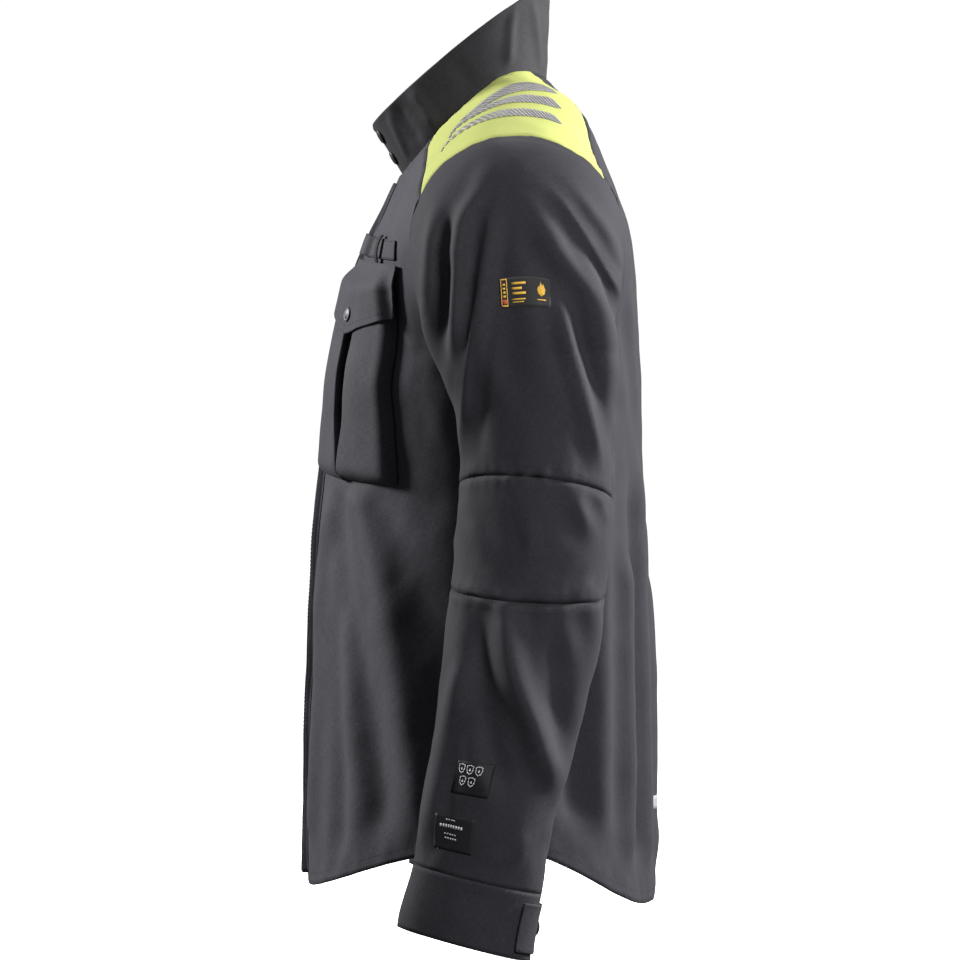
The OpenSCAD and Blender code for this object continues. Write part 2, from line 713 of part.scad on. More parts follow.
back_panel();
left_front_panel();
right_front_panel();
shoulder_yoke(1);  // left_shoulder_yoke
shoulder_yoke(-1);  // right_shoulder_yoke
reflectors(1);  // left_reflectors
reflectors(-1);  // right_reflectors
outer_collar();
inner_collar();
neck_tape();
hang_loop();
collar_stud_caps();
collar_stud_posts();
front_band_top();
front_band();
front_band_stud_sockets();
front_stud_posts();
pocket(1);  // left_pocket
pocket(-1);  // right_pocket
pocket_flap(1);  // left_pocket_flap
pocket_flap(-1);  // right_pocket_flap
flap_stud_cap(1);  // left_flap_stud_cap
flap_stud_cap(-1);  // right_flap_stud_cap
pocket_stud_post(1);  // left_pocket_stud_post
pocket_stud_post(-1);  // right_pocket_stud_post
chest_loop(1);  // left_chest_loop
chest_loop(-1);  // right_chest_loop
care_label();
back_reflector();
armhole_binding(1);  // left_armhole_binding
armhole_binding(-1);  // right_armhole_binding
upper_sleeve(1);  // left_upper_sleeve
upper_sleeve(-1);  // right_upper_sleeve
elbow_panel(1);  // left_elbow_panel
elbow_panel(-1);  // right_elbow_panel
lower_sleeve(1);  // left_lower_sleeve
lower_sleeve(-1);  // right_lower_sleeve
cuff(1);  // left_cuff
cuff(-1);  // right_cuff
cuff_tab(1);  // left_cuff_tab
cuff_tab(-1);  // right_cuff_tab
cuff_stud_cap(1);  // left_cuff_stud_cap
cuff_stud_cap(-1);  // right_cuff_stud_cap
cuff_stud_post(1);  // left_cuff_stud_post
cuff_stud_post(-1);  // right_cuff_stud_post
arm_badge();
upper_sleeve_print();
lower_sleeve_print();
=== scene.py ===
"""The coat's looks: draped cloth over the coat's own surfaces, with its seams, stitches, studs and film."""
import math
import bpy
import numpy as np
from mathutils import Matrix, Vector, noise
from mathutils.bvhtree import BVHTree
from mathutils.kdtree import KDTree


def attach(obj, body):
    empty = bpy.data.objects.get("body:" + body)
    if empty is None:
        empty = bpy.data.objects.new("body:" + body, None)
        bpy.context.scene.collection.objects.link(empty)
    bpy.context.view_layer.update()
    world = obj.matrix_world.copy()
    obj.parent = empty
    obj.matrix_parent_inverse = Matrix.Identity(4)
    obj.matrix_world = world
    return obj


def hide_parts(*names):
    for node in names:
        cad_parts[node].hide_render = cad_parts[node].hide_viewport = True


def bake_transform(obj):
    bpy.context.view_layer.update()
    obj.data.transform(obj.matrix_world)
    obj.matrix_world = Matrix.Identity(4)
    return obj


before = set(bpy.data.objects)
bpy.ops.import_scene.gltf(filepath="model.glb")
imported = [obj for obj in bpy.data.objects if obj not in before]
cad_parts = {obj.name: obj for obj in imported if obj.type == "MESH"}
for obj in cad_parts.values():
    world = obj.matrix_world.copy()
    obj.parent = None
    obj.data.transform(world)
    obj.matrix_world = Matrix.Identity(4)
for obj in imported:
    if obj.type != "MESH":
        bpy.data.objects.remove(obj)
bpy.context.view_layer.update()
MM = 0.001
SCENE = bpy.context.scene
MIRROR = np.array([-1, 1, 1])

# ---------- the coat's surfaces, in millimetres ----------

HALF, NECK = 215.0, 78.0  # half the chest's width, and the neck opening's radius
AR, AZ, AY = 91.5, -160.0, -27.0  # the armhole's radius and middle
LOW = AZ - AR
BACK_LEN, FRONT_LEN, SIDE_LEN = 734.0, 722.0, 676.0
# the middle of the front and of the back: (height, depth)
FRONT = [(-722, -213.5), (-596, -211), (-470, -206), (-362, -198.5), (-254, -186.5), (-182, -169.5),
         (-110, -139), (-86, -127), (-50, -104), (0, -70)]
BACK = [(-734, 99), (-560, 95), (-434, 90), (-272, 86), (-182, 81), (-128, 73), (-81, 55), (-38, 38),
        (-9, 11), (0, 2), (20, -4)]
DROP = [(-128, -86), (-90, -48), (-64, -23), (-42, -5), (-20, 2), (0, 0)]  # the neck seam: (depth, height)
YOKE_FRONT, YOKE_BACK = 122.0, 36.0  # the angles round the neck where the yoke starts and ends
CORNER_FRONT, CORNER_BACK = -121.0, -110.0  # the heights of the yoke's corners at the armhole
V_ARM = 0.62  # how far up the body's rows the armhole starts


def sin(a):
    return np.sin(np.radians(a))


def cos(a):
    return np.cos(np.radians(a))


def asin(x):
    return np.degrees(np.arcsin(np.clip(x, -1, 1)))


def lerp(a, b, t):
    return a + (b - a) * t


def soft(t):
    """0 below 0, 1 above 1, and a smooth step between."""
    k = np.clip(t, 0, 1)
    return k * k * (3 - 2 * k)


def unit(v):
    return v / np.maximum(np.linalg.norm(v, axis=-1, keepdims=True), 1e-12)


def lengths(points):
    """How far along a line of points each one is."""
    return np.r_[0, np.cumsum(np.linalg.norm(np.diff(points, axis=0), axis=1))]


def through(p, k):
    """A smooth curve through (key, value) pairs."""
    x, y = np.array([q[0] for q in p], float), np.array([q[1] for q in p], float)
    m = np.empty(len(x))
    m[0], m[-1] = (y[1] - y[0]) / (x[1] - x[0]), (y[-1] - y[-2]) / (x[-1] - x[-2])
    m[1:-1] = (y[2:] - y[:-2]) / (x[2:] - x[:-2])
    k = np.clip(np.asarray(k, float), x[0], x[-1])
    i = np.clip(np.searchsorted(x, k, side="right") - 1, 0, len(x) - 2)
    w = x[i + 1] - x[i]
    t = (k - x[i]) / w
    return ((2 * t ** 3 - 3 * t ** 2 + 1) * y[i] + (t ** 3 - 2 * t ** 2 + t) * w * m[i]
            + (3 * t ** 2 - 2 * t ** 3) * y[i + 1] + (t ** 3 - t ** 2) * w * m[i + 1])


def xyz(x, y, z):
    return np.stack(np.broadcast_arrays(x, y, z), -1).astype(float)


def neck_point(f):
    y = NECK * 0.82 * (cos(f) - 1)
    return xyz(NECK * sin(f), y, through(DROP, y))


def near(front):
    """The yoke's corner at the neck."""
    return neck_point(YOKE_FRONT if front else YOKE_BACK)


def neck_angle(x, front):
    a = asin(np.minimum(1, x / NECK))
    return 180 - a if front else a


def top_z(x, front):
    """The height of the body's top edge: the neck seam, then the yoke seam."""
    x = np.abs(x)
    n = near(front)
    t = (x - n[0]) / (HALF - n[0])
    seam = lerp(n[2], CORNER_FRONT if front else CORNER_BACK, t)
    seam = seam + (10 if front else -6) * sin(180 * np.clip(t, 0, 1))
    return np.where(x <= n[0], neck_point(neck_angle(x, front))[..., 2], seam)


def hem_z(u, front):
    a = np.abs(u)
    if front:
        return -lerp(FRONT_LEN, SIDE_LEN, soft(a * 1.15 - 0.1))
    return -lerp(BACK_LEN, SIDE_LEN, soft(a * 1.3 - 0.3))


def flat_z(u, v, front):
    top, corner = (-86, CORNER_FRONT) if front else (0, CORNER_BACK)
    turn = np.degrees(np.arccos((AZ - corner) / AR))
    a = np.clip((v - V_ARM) / (1 - V_ARM), 0, 1)
    middle = np.where(v < V_ARM, lerp(hem_z(u, front), LOW, v / V_ARM), lerp(LOW, top, a))
    side = np.where(v < V_ARM, middle, AZ - AR * cos(turn * a))
    return lerp(middle, side, u * u)


def body_z(u, v, front):
    gap = top_z(HALF * np.abs(sin(90 * u)), front) - flat_z(u, np.ones_like(v), front)
    a = np.clip((v - V_ARM) / (1 - V_ARM), 0, 1)
    return flat_z(u, v, front) + gap * a * a


def bare_y(u, z, front):
    off = np.abs(z - AZ) / AR
    h = AR * np.sqrt(np.maximum(0, 1 - off ** 2))
    spread = np.where(off < 0.6, h, 0.8 * AR * np.clip(1 - (off - 0.6) * 15 / 32, 0, 1) ** 2)
    h = lerp(spread, h, np.abs(u) ** 8)
    side = np.where(z > LOW, AY, AY + 0.03 * (z - LOW)) + (-h if front else h)
    full = lerp(0.5, 1, soft((z + 290) / 110))
    return lerp(side, through(FRONT if front else BACK, z), np.maximum(0, cos(90 * u)) ** (2 * full))


def top_shift(u, front):
    x, n = HALF * np.abs(sin(90 * u)), near(front)
    last = asin(n[0] / HALF) / 90
    at_neck = neck_point(neck_angle(x, front))[..., 1] - bare_y(u, top_z(x, front), front)
    return np.where(x <= n[0], at_neck, (n[1] - bare_y(last, n[2], front)) * (1 - soft((x - n[0]) / 60)))


def body(u, z, front):
    """u is -1 and 1 at the side seams and 0 in the middle."""
    u, z = np.broadcast_arrays(np.asarray(u, float), np.asarray(z, float))
    rise = soft((z - top_z(HALF * np.abs(sin(90 * u)), front) + 70) / 70)
    return xyz(HALF * sin(90 * u), bare_y(u, z, front) + top_shift(u, front) * rise, z)


def u_of(x):
    return asin(np.asarray(x, float) / HALF) / 90


def on_front(x, z):
    return body(u_of(x), z, True)


def yoke_edge(s, front):
    x = lerp(near(front)[0], HALF, np.asarray(s, float))
    return body(u_of(np.minimum(x, HALF - 0.01)), top_z(x, front), front)


ARC0 = -np.degrees(np.arccos((CORNER_FRONT - AZ) / AR))
ARC1 = np.degrees(np.arccos((CORNER_BACK - AZ) / AR))


def yoke(s, w):
    """s runs from the neck to the armhole, w from front to back."""
    s, w = np.broadcast_arrays(np.asarray(s, float), np.asarray(w, float))
    a = lerp(ARC0, ARC1, w)
    n, m = neck_point(lerp(YOKE_FRONT, YOKE_BACK, w)), xyz(HALF, AY + AR * sin(a), AZ + AR * cos(a))
    c = [yoke_edge(float(i), j) for i in (0, 1) for j in (True, False)]
    S, W = s[..., None], w[..., None]
    return ((1 - W) * yoke_edge(s, True) + W * yoke_edge(s, False) + (1 - S) * n + S * m
            - (1 - S) * (1 - W) * c[0] - (1 - S) * W * c[1] - S * (1 - W) * c[2] - S * W * c[3])


COLLAR_TOP = [(-154, -43), (-80, 19), (-30, 58), (-12, 69), (3, 68)]


def collar(f, h, off):
    """f is the angle round the neck, 0 at the back; the right end, below -148, is tucked in."""
    f, h, off = np.broadcast_arrays(*(np.asarray(k, float) for k in (f, h, off)))

    def at(f, h):
        y = -75.5 + 78.5 * cos(f)
        top = xyz(76 * sin(f), y, through(COLLAR_TOP, y))
        return lerp(neck_point(f), top, h[..., None]) + np.array([0, 0, 1.5])
    n = unit(np.cross(at(f, h + 0.1) - at(f, h - 0.1), at(f + 2, h) - at(f - 2, h)))
    return at(f, h) + (off - 6.5 * soft((-f - 148) / 26))[..., None] * n, n


SEAM_X, UNDER = HALF + 3, LOW - 3.5  # the sleeve's seam plane, and the height under the arm
# the sleeve head by angle: how far out it reaches, half its depth and the middle of it
REACH = [(0, 186.5), (7, 181), (16, 170), (29, 152), (44, 135), (64, 120), (90, 114)]
HEAD_HALF = [(0, 91.5), (20, 90), (45, 86), (70, 80), (90, 75)]
HEAD_MID = [(0, -27), (45, -27), (90, -23)]
# the sleeve below it by height: its middle, its half sizes and how far its rings tilt
ARM_Y = [(-760, -73), (-733, -70), (-695, -61), (-640, -53), (-578, -38), (-503, -26), (-462, -20),
         (-420, -14), (-378, -12), (-337, -12), (-295, -14), (-255, -23)]
ARM_RY = [(-760, 55), (-695, 54), (-640, 55), (-578, 59), (-503, 63), (-420, 65), (-337, 63.5),
          (-295, 68), (-255, 75)]
ARM_X = [(-760, 291), (-578, 288), (-420, 281), (-337, 278), (-255, 277)]
ARM_RX = [(-760, 30), (-695, 34), (-578, 46), (-420, 52), (-337, 54), (-255, 55)]
TILT = [(-760, 0.27), (-695, 0.24), (-578, 0.1), (-462, 0)]


def arm(s, b):
    """s is -90 at the armhole, 0 under the arm, then millimetres down; b is 0 outside and 90 at the back."""
    s, b = np.broadcast_arrays(np.asarray(s, float), np.asarray(b, float))
    a = 90 + np.minimum(s, 0)
    reach = through(REACH, a)
    r = (reach + 3.5) / 2 + (reach - 3.5) / 2 * cos(b)
    close = 2.6 * (1 - soft(a / 25))
    across = through(HEAD_MID, a) + through(HEAD_HALF, a) * sin(b)
    head = xyz(SEAM_X - close + sin(a) * r, across, UNDER + cos(a) * r)
    z = UNDER - np.maximum(s, 0)
    y = through(ARM_RY, z) * sin(b)
    x = through(ARM_X, z) + through(ARM_RX, z) * cos(b)
    return np.where((s <= 0)[..., None], head, xyz(x, through(ARM_Y, z) + y, z - through(TILT, z) * y))


def upper_seam(b):
    return 371 - 12 * cos(b) + 6.6 * sin(b) + UNDER


def lower_seam(b):
    return 455 + 7.5 * cos(b) + 4 * sin(b) + UNDER


CUFF_SEAM, CUFF_END = 693 + UNDER, 747 + UNDER

# ---------- meshes ----------


def link(o):
    SCENE.collection.objects.link(o)
    return o


def make(name, points, faces, mat=None, uvs=None, marks=()):
    """A mesh object from points in millimetres. uvs holds a place in metres for every face corner."""
    me = bpy.data.meshes.new(name)
    me.from_pydata((np.asarray(points) * MM).tolist(), [], [list(map(int, f)) for f in faces])
    if len(marks):
        for _ in range(max(marks) + 1):
            me.materials.append(None)
        me.polygons.foreach_set("material_index", np.asarray(marks, np.int32))
    if mat is not None:
        me.materials.append(mat)
    if uvs is not None:
        me.uv_layers.new(name="cloth").data.foreach_set("uv", np.asarray(uvs, np.float32).ravel())
    me.polygons.foreach_set("use_smooth", np.full(len(me.polygons), True))
    me.update()
    return link(bpy.data.objects.new(name, me))


def points_of(me):
    co = np.empty(len(me.vertices) * 3)
    me.vertices.foreach_get("co", co)
    return co.reshape(-1, 3) / MM


def taken(o):
    """o's mesh as its modifiers leave it; o is deleted."""
    me = bpy.data.meshes.new_from_object(o.evaluated_get(bpy.context.evaluated_depsgraph_get()))
    bpy.data.objects.remove(o)
    return me


def add_modifier(o, kind, **settings):
    m = o.modifiers.new(kind, kind)
    for k, v in settings.items():
        setattr(m, k, v)
    return m


def grid_faces(rows, cols, closed=False, flip=False):
    out = []
    for i in range(rows - 1):
        for j in range(cols if closed else cols - 1):
            k = (j + 1) % cols
            f = (i * cols + j, i * cols + k, (i + 1) * cols + k, (i + 1) * cols + j)
            out.append(f[::-1] if flip else f)
    return out


def grid_uv(points, closed=False, flip=False):
    """Corner places in metres, by length along the middle row and column."""
    rows, cols = points.shape[:2]
    p = np.concatenate([points, points[:, :1]], 1) if closed else points
    across, down = lengths(p[rows // 2]) * MM, lengths(p[:, cols // 2]) * MM
    out = []
    for i in range(rows - 1):
        for j in range(p.shape[1] - 1):
            q = [(across[j + a], down[i + b]) for a, b in ((0, 0), (1, 0), (1, 1), (0, 1))]
            out += q[::-1] if flip else q
    return out


def mesh_grid(xs, zs):
    """The two coordinates of a grid. Each side is a list of values, or (first, last, count) as a tuple."""
    return np.meshgrid(*(np.linspace(*k) if isinstance(k, tuple) else np.asarray(k, float) for k in (xs, zs)))


def thick(name, points, faces, uvs, mat, depth, lod=0):
    """A cloth piece with thickness, from its outer face."""
    o = make(name + "_raw", points, faces, mat, uvs)
    if lod:
        add_modifier(o, "SUBSURF", levels=lod)
    add_modifier(o, "SOLIDIFY", thickness=depth * MM, offset=-1, use_rim=True)
    me = taken(o)
    me.name = name
    return link(bpy.data.objects.new(name, me))


def flipped(points, faces, uvs):
    """A mirrored copy for the other side."""
    out, corner = [], 0
    for f in faces:
        out += list(uvs[corner:corner + len(f)])[::-1]
        corner += len(f)
    return points * MIRROR, [f[::-1] for f in faces], out


def mirrored(points, side):
    return points if side == "left" else points * MIRROR


def settle(o, where, slot, nodes=(), flat=None, held="stretched", rests=(), cut=None):
    """Hides the model's parts that a piece stands for and hangs the piece on the body it rides; a piece given
    two bodies and their points only gets its place baked in, and nothing bends. flat, its flat size, is not
    used.
    """
    if nodes:
        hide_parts(*nodes)
    if isinstance(where, str):
        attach(o, where)
    else:
        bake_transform(o)
    return o


DRAPE = {"quality": 6, "mass": 0.3, "tension_stiffness": 60.0, "compression_stiffness": 60.0,
         "shear_stiffness": 30.0, "bending_stiffness": 1.0, "vertex_group_mass": "pin", "pin_stiffness": 1.0}
DRAPE_FRAMES, DRAPE_GRAVITY, SLACK = 30, 0.2, 0.05


def drape(points, faces, pin, cap):
    """Lets the cloth settle with a little spare width round it; no point moves further than cap."""
    o = make("drape", points, faces)
    group = o.vertex_groups.new(name="pin")
    for w in sorted(set(np.round(pin, 2))):
        group.add(np.nonzero(np.round(pin, 2) == w)[0].tolist(), float(w), "REPLACE")
    o.shape_key_add(name="Basis")
    cut = o.shape_key_add(name="cut")
    middle = points.mean(0)
    wide = (middle + (points - middle) * [1 + SLACK, 1 + SLACK, 1]) * MM
    cut.data.foreach_set("co", wide.ravel())
    cut.value = 0
    m = add_modifier(o, "CLOTH")
    m.settings.rest_shape_key = cut
    for k, v in DRAPE.items():
        setattr(m.settings, k, v)
    m.settings.effector_weights.gravity = DRAPE_GRAVITY
    m.collision_settings.use_collision = m.collision_settings.use_self_collision = False
    m.point_cache.frame_end = DRAPE_FRAMES
    for f in range(1, DRAPE_FRAMES + 1):
        SCENE.frame_set(f)
    me = taken(o)
    d = points_of(me) - points
    bpy.data.meshes.remove(me)
    SCENE.frame_set(1)
    size = np.linalg.norm(d, axis=1, keepdims=True)
    return points + d * cap * np.tanh(size / cap) / np.maximum(size, 1e-9)


def normals(points, faces):
    """Smooth normals of a mesh."""
    n = np.zeros_like(points)
    f = np.array([q if len(q) == 4 else (q[0], q[1], q[2], q[2]) for q in faces])
    a = np.cross(points[f[:, 2]] - points[f[:, 0]], points[f[:, 3]] - points[f[:, 1]])
    for k in range(4):
        np.add.at(n, f[:, k], a)
    return unit(n)


def stroke(at, path, height, width, crisp=False):
    """A ridge, or with a negative height a valley, along a smooth path in the plane that at is in."""
    best, along = np.full(len(at), 1e9), np.zeros(len(at))
    p = np.array(path, float)
    step = lengths(p)
    if len(p) > 2:
        k = np.linspace(0, step[-1], 4 * len(p))
        p = np.stack([through(list(zip(step, p[:, i])), k) for i in (0, 1)], -1)
        step = k
    for a, b, s0, s1 in zip(p[:-1], p[1:], step[:-1], step[1:]):
        t = np.clip(((at - a) @ (b - a)) / max((b - a) @ (b - a), 1e-9), 0, 1)
        d = np.linalg.norm(at - a - t[:, None] * (b - a), axis=1)
        along = np.where(d < best, lerp(s0, s1, t), along)
        best = np.minimum(best, d)
    ends = soft(np.minimum(along, step[-1] - along) / min(40, 0.4 * step[-1]) + 0.15)
    if crisp:
        crest = np.exp(-(np.sqrt(best ** 2 + 1.5) - 1.2) / width)
        return height * ends * (crest - 0.3 * np.exp(-((best - 2.6 * width) / width) ** 2))
    crest = np.exp(-(best / width) ** 2)
    return height * ends * (crest - 0.35 * np.exp(-((best - 1.9 * width) / width) ** 2))


def tree_of(points):
    tree = KDTree(len(points))
    for i, p in enumerate(points):
        tree.insert(p, i)
    tree.balance()
    return tree


class Cloth:
    """A finished piece of cloth that others are laid on."""

    def __init__(self, rest, moved, points, faces):
        self.shift, self.tree = moved - rest, tree_of(rest)
        self.n, self.fine = normals(points, faces), tree_of(points)
        self.bvh = BVHTree.FromPolygons([Vector(p) for p in points], faces)

    def carry(self, p):
        near_by = self.tree.find_n(p, 6)
        w = np.array([math.exp(-(d / 9) ** 2) + 1e-6 for _, _, d in near_by])
        return p + (self.shift[[i for _, i, _ in near_by]] * w[:, None]).sum(0) / w.sum()

    def normal(self, p):
        near_by = self.fine.find_n(p, 8)
        w = np.array([1 / (d + 0.8) ** 2 for _, _, d in near_by])
        v = (self.n[[i for _, i, _ in near_by]] * w[:, None]).sum(0)
        return v / np.linalg.norm(v)

    def lay(self, points, lift):
        """Points near the rest surface, laid at a height above the finished cloth; and the normals there."""
        shape = np.shape(points)
        flat = np.reshape(points, (-1, 3))
        lift = np.broadcast_to(np.asarray(lift, float), shape[:-1]).ravel()
        out, ns = np.empty_like(flat), np.empty_like(flat)
        for i, p in enumerate(flat):
            hit = self.bvh.find_nearest(Vector(self.carry(p)))[0]
            ns[i] = self.normal(hit)
            out[i] = np.array(hit) + lift[i] * ns[i]
        return out.reshape(shape), ns.reshape(shape)

    def over(self, points, lift):
        return self.lay(points, lift)[0]


def wave(p, size, seed=0.0):
    """Smooth noise at each point."""
    return np.array([noise.noise(Vector(v)) for v in np.asarray(p) / size + seed])


def finish_cloth(points, faces, marks, uvs, seams, crumple, creases):
    """Subdivides draped cloth and works in its creases, seams, the puckers along them and a light crumple."""
    o = make("fine", points, faces, None, uvs, marks)
    add_modifier(o, "SUBSURF", levels=1)
    me = taken(o)
    fine, faces = points_of(me), [tuple(p.vertices) for p in me.polygons]
    marks, uvs = np.empty(len(faces), np.int32), np.zeros(len(me.loops) * 2)
    me.polygons.foreach_get("material_index", marks)
    me.uv_layers[0].data.foreach_get("uv", uvs)
    bpy.data.meshes.remove(me)
    n = normals(fine, faces)
    fine = fine + n * creases(fine, n)[:, None]
    n = normals(fine, faces)
    tree = tree_of([q for s in seams for q in s])
    near_by = [tree.find(p) for p in fine]
    d = np.array([q[2] for q in near_by])
    at = np.array([tuple(q[0]) for q in near_by])
    close = d < 30
    pucker = np.zeros(len(fine))
    pucker[close] = wave(at[close], 7.0) * 1.5 + wave(at[close], 15.0, 5.0) * 1.6
    pucker *= np.exp(-d / 9) * (1 - np.exp(-(d / 2.0) ** 2))
    dip = -1.0 * np.exp(-(d / 2.4) ** 2) + 0.55 * np.exp(-((d - 5.5) / 3.2) ** 2)
    rumple = crumple * (wave(fine * [1, 1, 0.6], 42.0, 3.0) * 1.6 + wave(fine * [1, 1, 0.7], 19.0, 9.0) * 0.7)
    fine = fine + n * (dip + pucker + rumple * (1 - np.exp(-(d / 9) ** 2)))[:, None]
    return fine, faces, marks, uvs.reshape(-1, 2)


def part_of(cloth, mark):
    """The faces with one mark, as points, faces and uvs of their own."""
    points, faces, marks, uvs = cloth
    keep, places, used, corner = [], [], {}, 0
    for f, k in zip(faces, marks):
        if k == mark:
            keep.append(tuple(used.setdefault(v, len(used)) for v in f))
            places += list(uvs[corner:corner + len(f)])
        corner += len(f)
    return points[list(used)], keep, places


def cut_area(points, faces, marks, mark):
    """The area in square metres of one part of the surface as it is cut, before any fold or drape."""
    f = np.array([q for q, k in zip(faces, marks) if k == mark])
    across = np.cross(points[f[:, 2]] - points[f[:, 0]], points[f[:, 3]] - points[f[:, 1]])
    return float(np.linalg.norm(across, axis=1).sum() / 2 * MM ** 2)


def dense(line, step=2.5):
    """A line of points with more between them, except across a jump."""
    out = [line[0]]
    for a, b in zip(line[:-1], line[1:]):
        k = max(1, int(np.linalg.norm(b - a) / step))
        if np.linalg.norm(b - a) < 60:
            out += [lerp(a, b, (i + 1) / k) for i in range(k)]
    return out


# ---------- materials ----------


def node(t, kind, *joins, **values):
    """A shader node. values set its properties and inputs; joins are (input, socket that feeds it)."""
    n = t.nodes.new("ShaderNode" + kind)
    for k, v in values.items():
        if hasattr(n, k):
            setattr(n, k, v)
        else:
            n.inputs[k.replace("_", " ")].default_value = v
    for k, socket in joins:
        t.links.new(socket, n.inputs[k])
    return n


def material(name, **values):
    m = bpy.data.materials.new(name)
    m.use_nodes = True
    surface = m.node_tree.nodes["Principled BSDF"]
    for k, v in values.items():
        surface.inputs[k.replace("_", " ")].default_value = v
    return m, m.node_tree, surface


def noise_at(t, place, size, detail, rough):
    return node(t, "TexNoise", ("Vector", place), Scale=size, Detail=detail, Roughness=rough).outputs[0]


def added(t, a, factor, b):
    n = node(t, "Math", (0, a), (2, b), operation="MULTIPLY_ADD")
    n.inputs[1].default_value = factor
    return n.outputs[0]


def finish(t, surface, share, dark, light, relief):
    """Colours a surface between two tones and gives it its relief."""
    mix = node(t, "Mix", (0, share), data_type="RGBA")
    mix.inputs[6].default_value, mix.inputs[7].default_value = (*dark, 1), (*light, 1)
    t.links.new(mix.outputs[2], surface.inputs["Base Color"])
    t.links.new(relief.outputs[0], surface.inputs["Normal"])


def cloth_mat(name, dark, light, sheen=0.025, heather=0.5, bump=0.12, period=1.15, crumple=0.16):
    """Twill: fine diagonal ribs, a heathered yarn colour, faint rubbing and a soft sheen."""
    m, t, surface = material(name, Roughness=0.8, Sheen_Weight=sheen, Sheen_Roughness=0.45,
                             Specular_IOR_Level=0.18)
    place = node(t, "TexCoord").outputs["UV"]
    turned = node(t, "Mapping", ("Vector", place), Rotation=(0, 0, math.radians(52))).outputs[0]
    rib = node(t, "TexWave", ("Vector", turned), wave_type="BANDS", Scale=math.pi * 100 / period,
               Distortion=0.6, Detail=1.0, Detail_Scale=3.0).outputs["Fac"]
    yarns = []
    for stretch in ((1900, 150, 150), (150, 1900, 150)):
        along = node(t, "Mapping", ("Vector", place), Scale=stretch).outputs[0]
        yarns.append(noise_at(t, along, 1.0, 3.0, 0.7))
    yarn = node(t, "Math", (0, yarns[0]), (1, yarns[1]), operation="ADD").outputs[0]
    tone = node(t, "MapRange", (0, yarn), From_Min=0.7, From_Max=1.3, To_Min=0.5 - heather,
                To_Max=0.5 + heather).outputs[0]
    worn = added(t, noise_at(t, place, 9.0, 4.0, 0.6), 0.5, added(t, rib, 0.22, tone))
    level = node(t, "MapRange", (0, worn), From_Min=0.1, From_Max=1.45).outputs[0]
    rumple = noise_at(t, place, 34.0, 3.0, 0.55)
    low = node(t, "Bump", ("Height", rumple), Strength=crumple, Distance=0.004).outputs[0]
    weave = node(t, "Math", (0, rib), (1, yarn), operation="ADD").outputs[0]
    high = node(t, "Bump", ("Height", weave), ("Normal", low), Strength=bump, Distance=0.0004)
    finish(t, surface, level, dark, light, high)
    return m


def plain_mat(name, dark, light, rough, size=900.0, bump=0.15, metal=0.0, sheen=0.0, spec=0.5, spread=0.35):
    """Thread, film, print and metal: two tones of fine grain with a little relief."""
    m, t, surface = material(name, Metallic=metal, Sheen_Weight=sheen, Specular_IOR_Level=spec)
    place = node(t, "TexCoord").outputs["Object"]
    grain = noise_at(t, place, size, 3.0, 0.6)
    low, high = max(0.05, rough - spread / 2), min(1.0, rough + spread / 2)
    gloss = node(t, "MapRange", (0, grain), To_Min=low, To_Max=high)
    t.links.new(gloss.outputs[0], surface.inputs["Roughness"])
    relief = node(t, "Bump", ("Height", grain), Strength=bump, Distance=0.0003)
    finish(t, surface, noise_at(t, place, size / 14, 2.0, 0.5), dark, light, relief)
    return m


main = cloth_mat("main twill", (0.010, 0.0098, 0.0125), (0.034, 0.033, 0.041))
front_cloth = cloth_mat("front twill", (0.018, 0.0180, 0.0225), (0.058, 0.058, 0.071), heather=0.7)
lime = cloth_mat("lime twill", (0.355, 0.39, 0.1), (0.44, 0.475, 0.15), heather=0.2, sheen=0.02, crumple=0.12)
collar_cloth = cloth_mat("collar twill", (0.0125, 0.0117, 0.0135), (0.037, 0.035, 0.040), heather=0.6,
                         crumple=0.14)
tape_mat = cloth_mat("tape", (0.006, 0.006, 0.007), (0.02, 0.02, 0.022), period=1.6, bump=0.3, crumple=0.1)
label_mat = cloth_mat("label satin", (0.55, 0.55, 0.53), (0.72, 0.72, 0.7), period=0.8, heather=0.2,
                      crumple=0.1)
thread = plain_mat("thread", (0.006, 0.006, 0.008), (0.014, 0.014, 0.017), 0.75, spec=0.2)
lime_thread = plain_mat("lime thread", (0.3, 0.35, 0.06), (0.4, 0.43, 0.1), 0.7, sheen=0.1)
film = plain_mat("reflective film", (0.20, 0.195, 0.20), (0.29, 0.28, 0.29), 0.55, 1600, 0.3)
metal = plain_mat("gunmetal", (0.035, 0.035, 0.038), (0.085, 0.085, 0.09), 0.52, 700, 0.1, metal=0.75,
                  spread=0.2)
badge_black = plain_mat("badge black", (0.006, 0.006, 0.007), (0.014, 0.014, 0.016), 0.75, 1400, 0.6,
                        sheen=0.3)
badge_yellow = plain_mat("badge yellow", (0.78, 0.42, 0.03), (0.9, 0.55, 0.06), 0.6, 1600, 0.7, sheen=0.3)
badge_red = plain_mat("badge red", (0.5, 0.05, 0.03), (0.62, 0.09, 0.05), 0.6, 1600, 0.7, sheen=0.3)
print_black = plain_mat("print black", (0.008, 0.008, 0.01), (0.016, 0.016, 0.019), 0.62, spec=0.2)
print_white = plain_mat("print white", (0.5, 0.5, 0.52), (0.66, 0.66, 0.68), 0.6, spec=0.25)

# ---------- the body's cloth ----------

SIDE_COLS = 26
FIRST = 0.17  # the share of the way round where the columns outside the neck start
ANGLE_X = (sin(90 * np.linspace(FIRST, 1, SIDE_COLS + 1)) - sin(90 * FIRST)) / (1 - sin(90 * FIRST))
BAND = 20.5  # where the left front starts
CLOTH_DEPTH = 1.2
ROWS = np.r_[np.linspace(0, V_ARM, 60), np.linspace(V_ARM, 1, 25)[1:]]


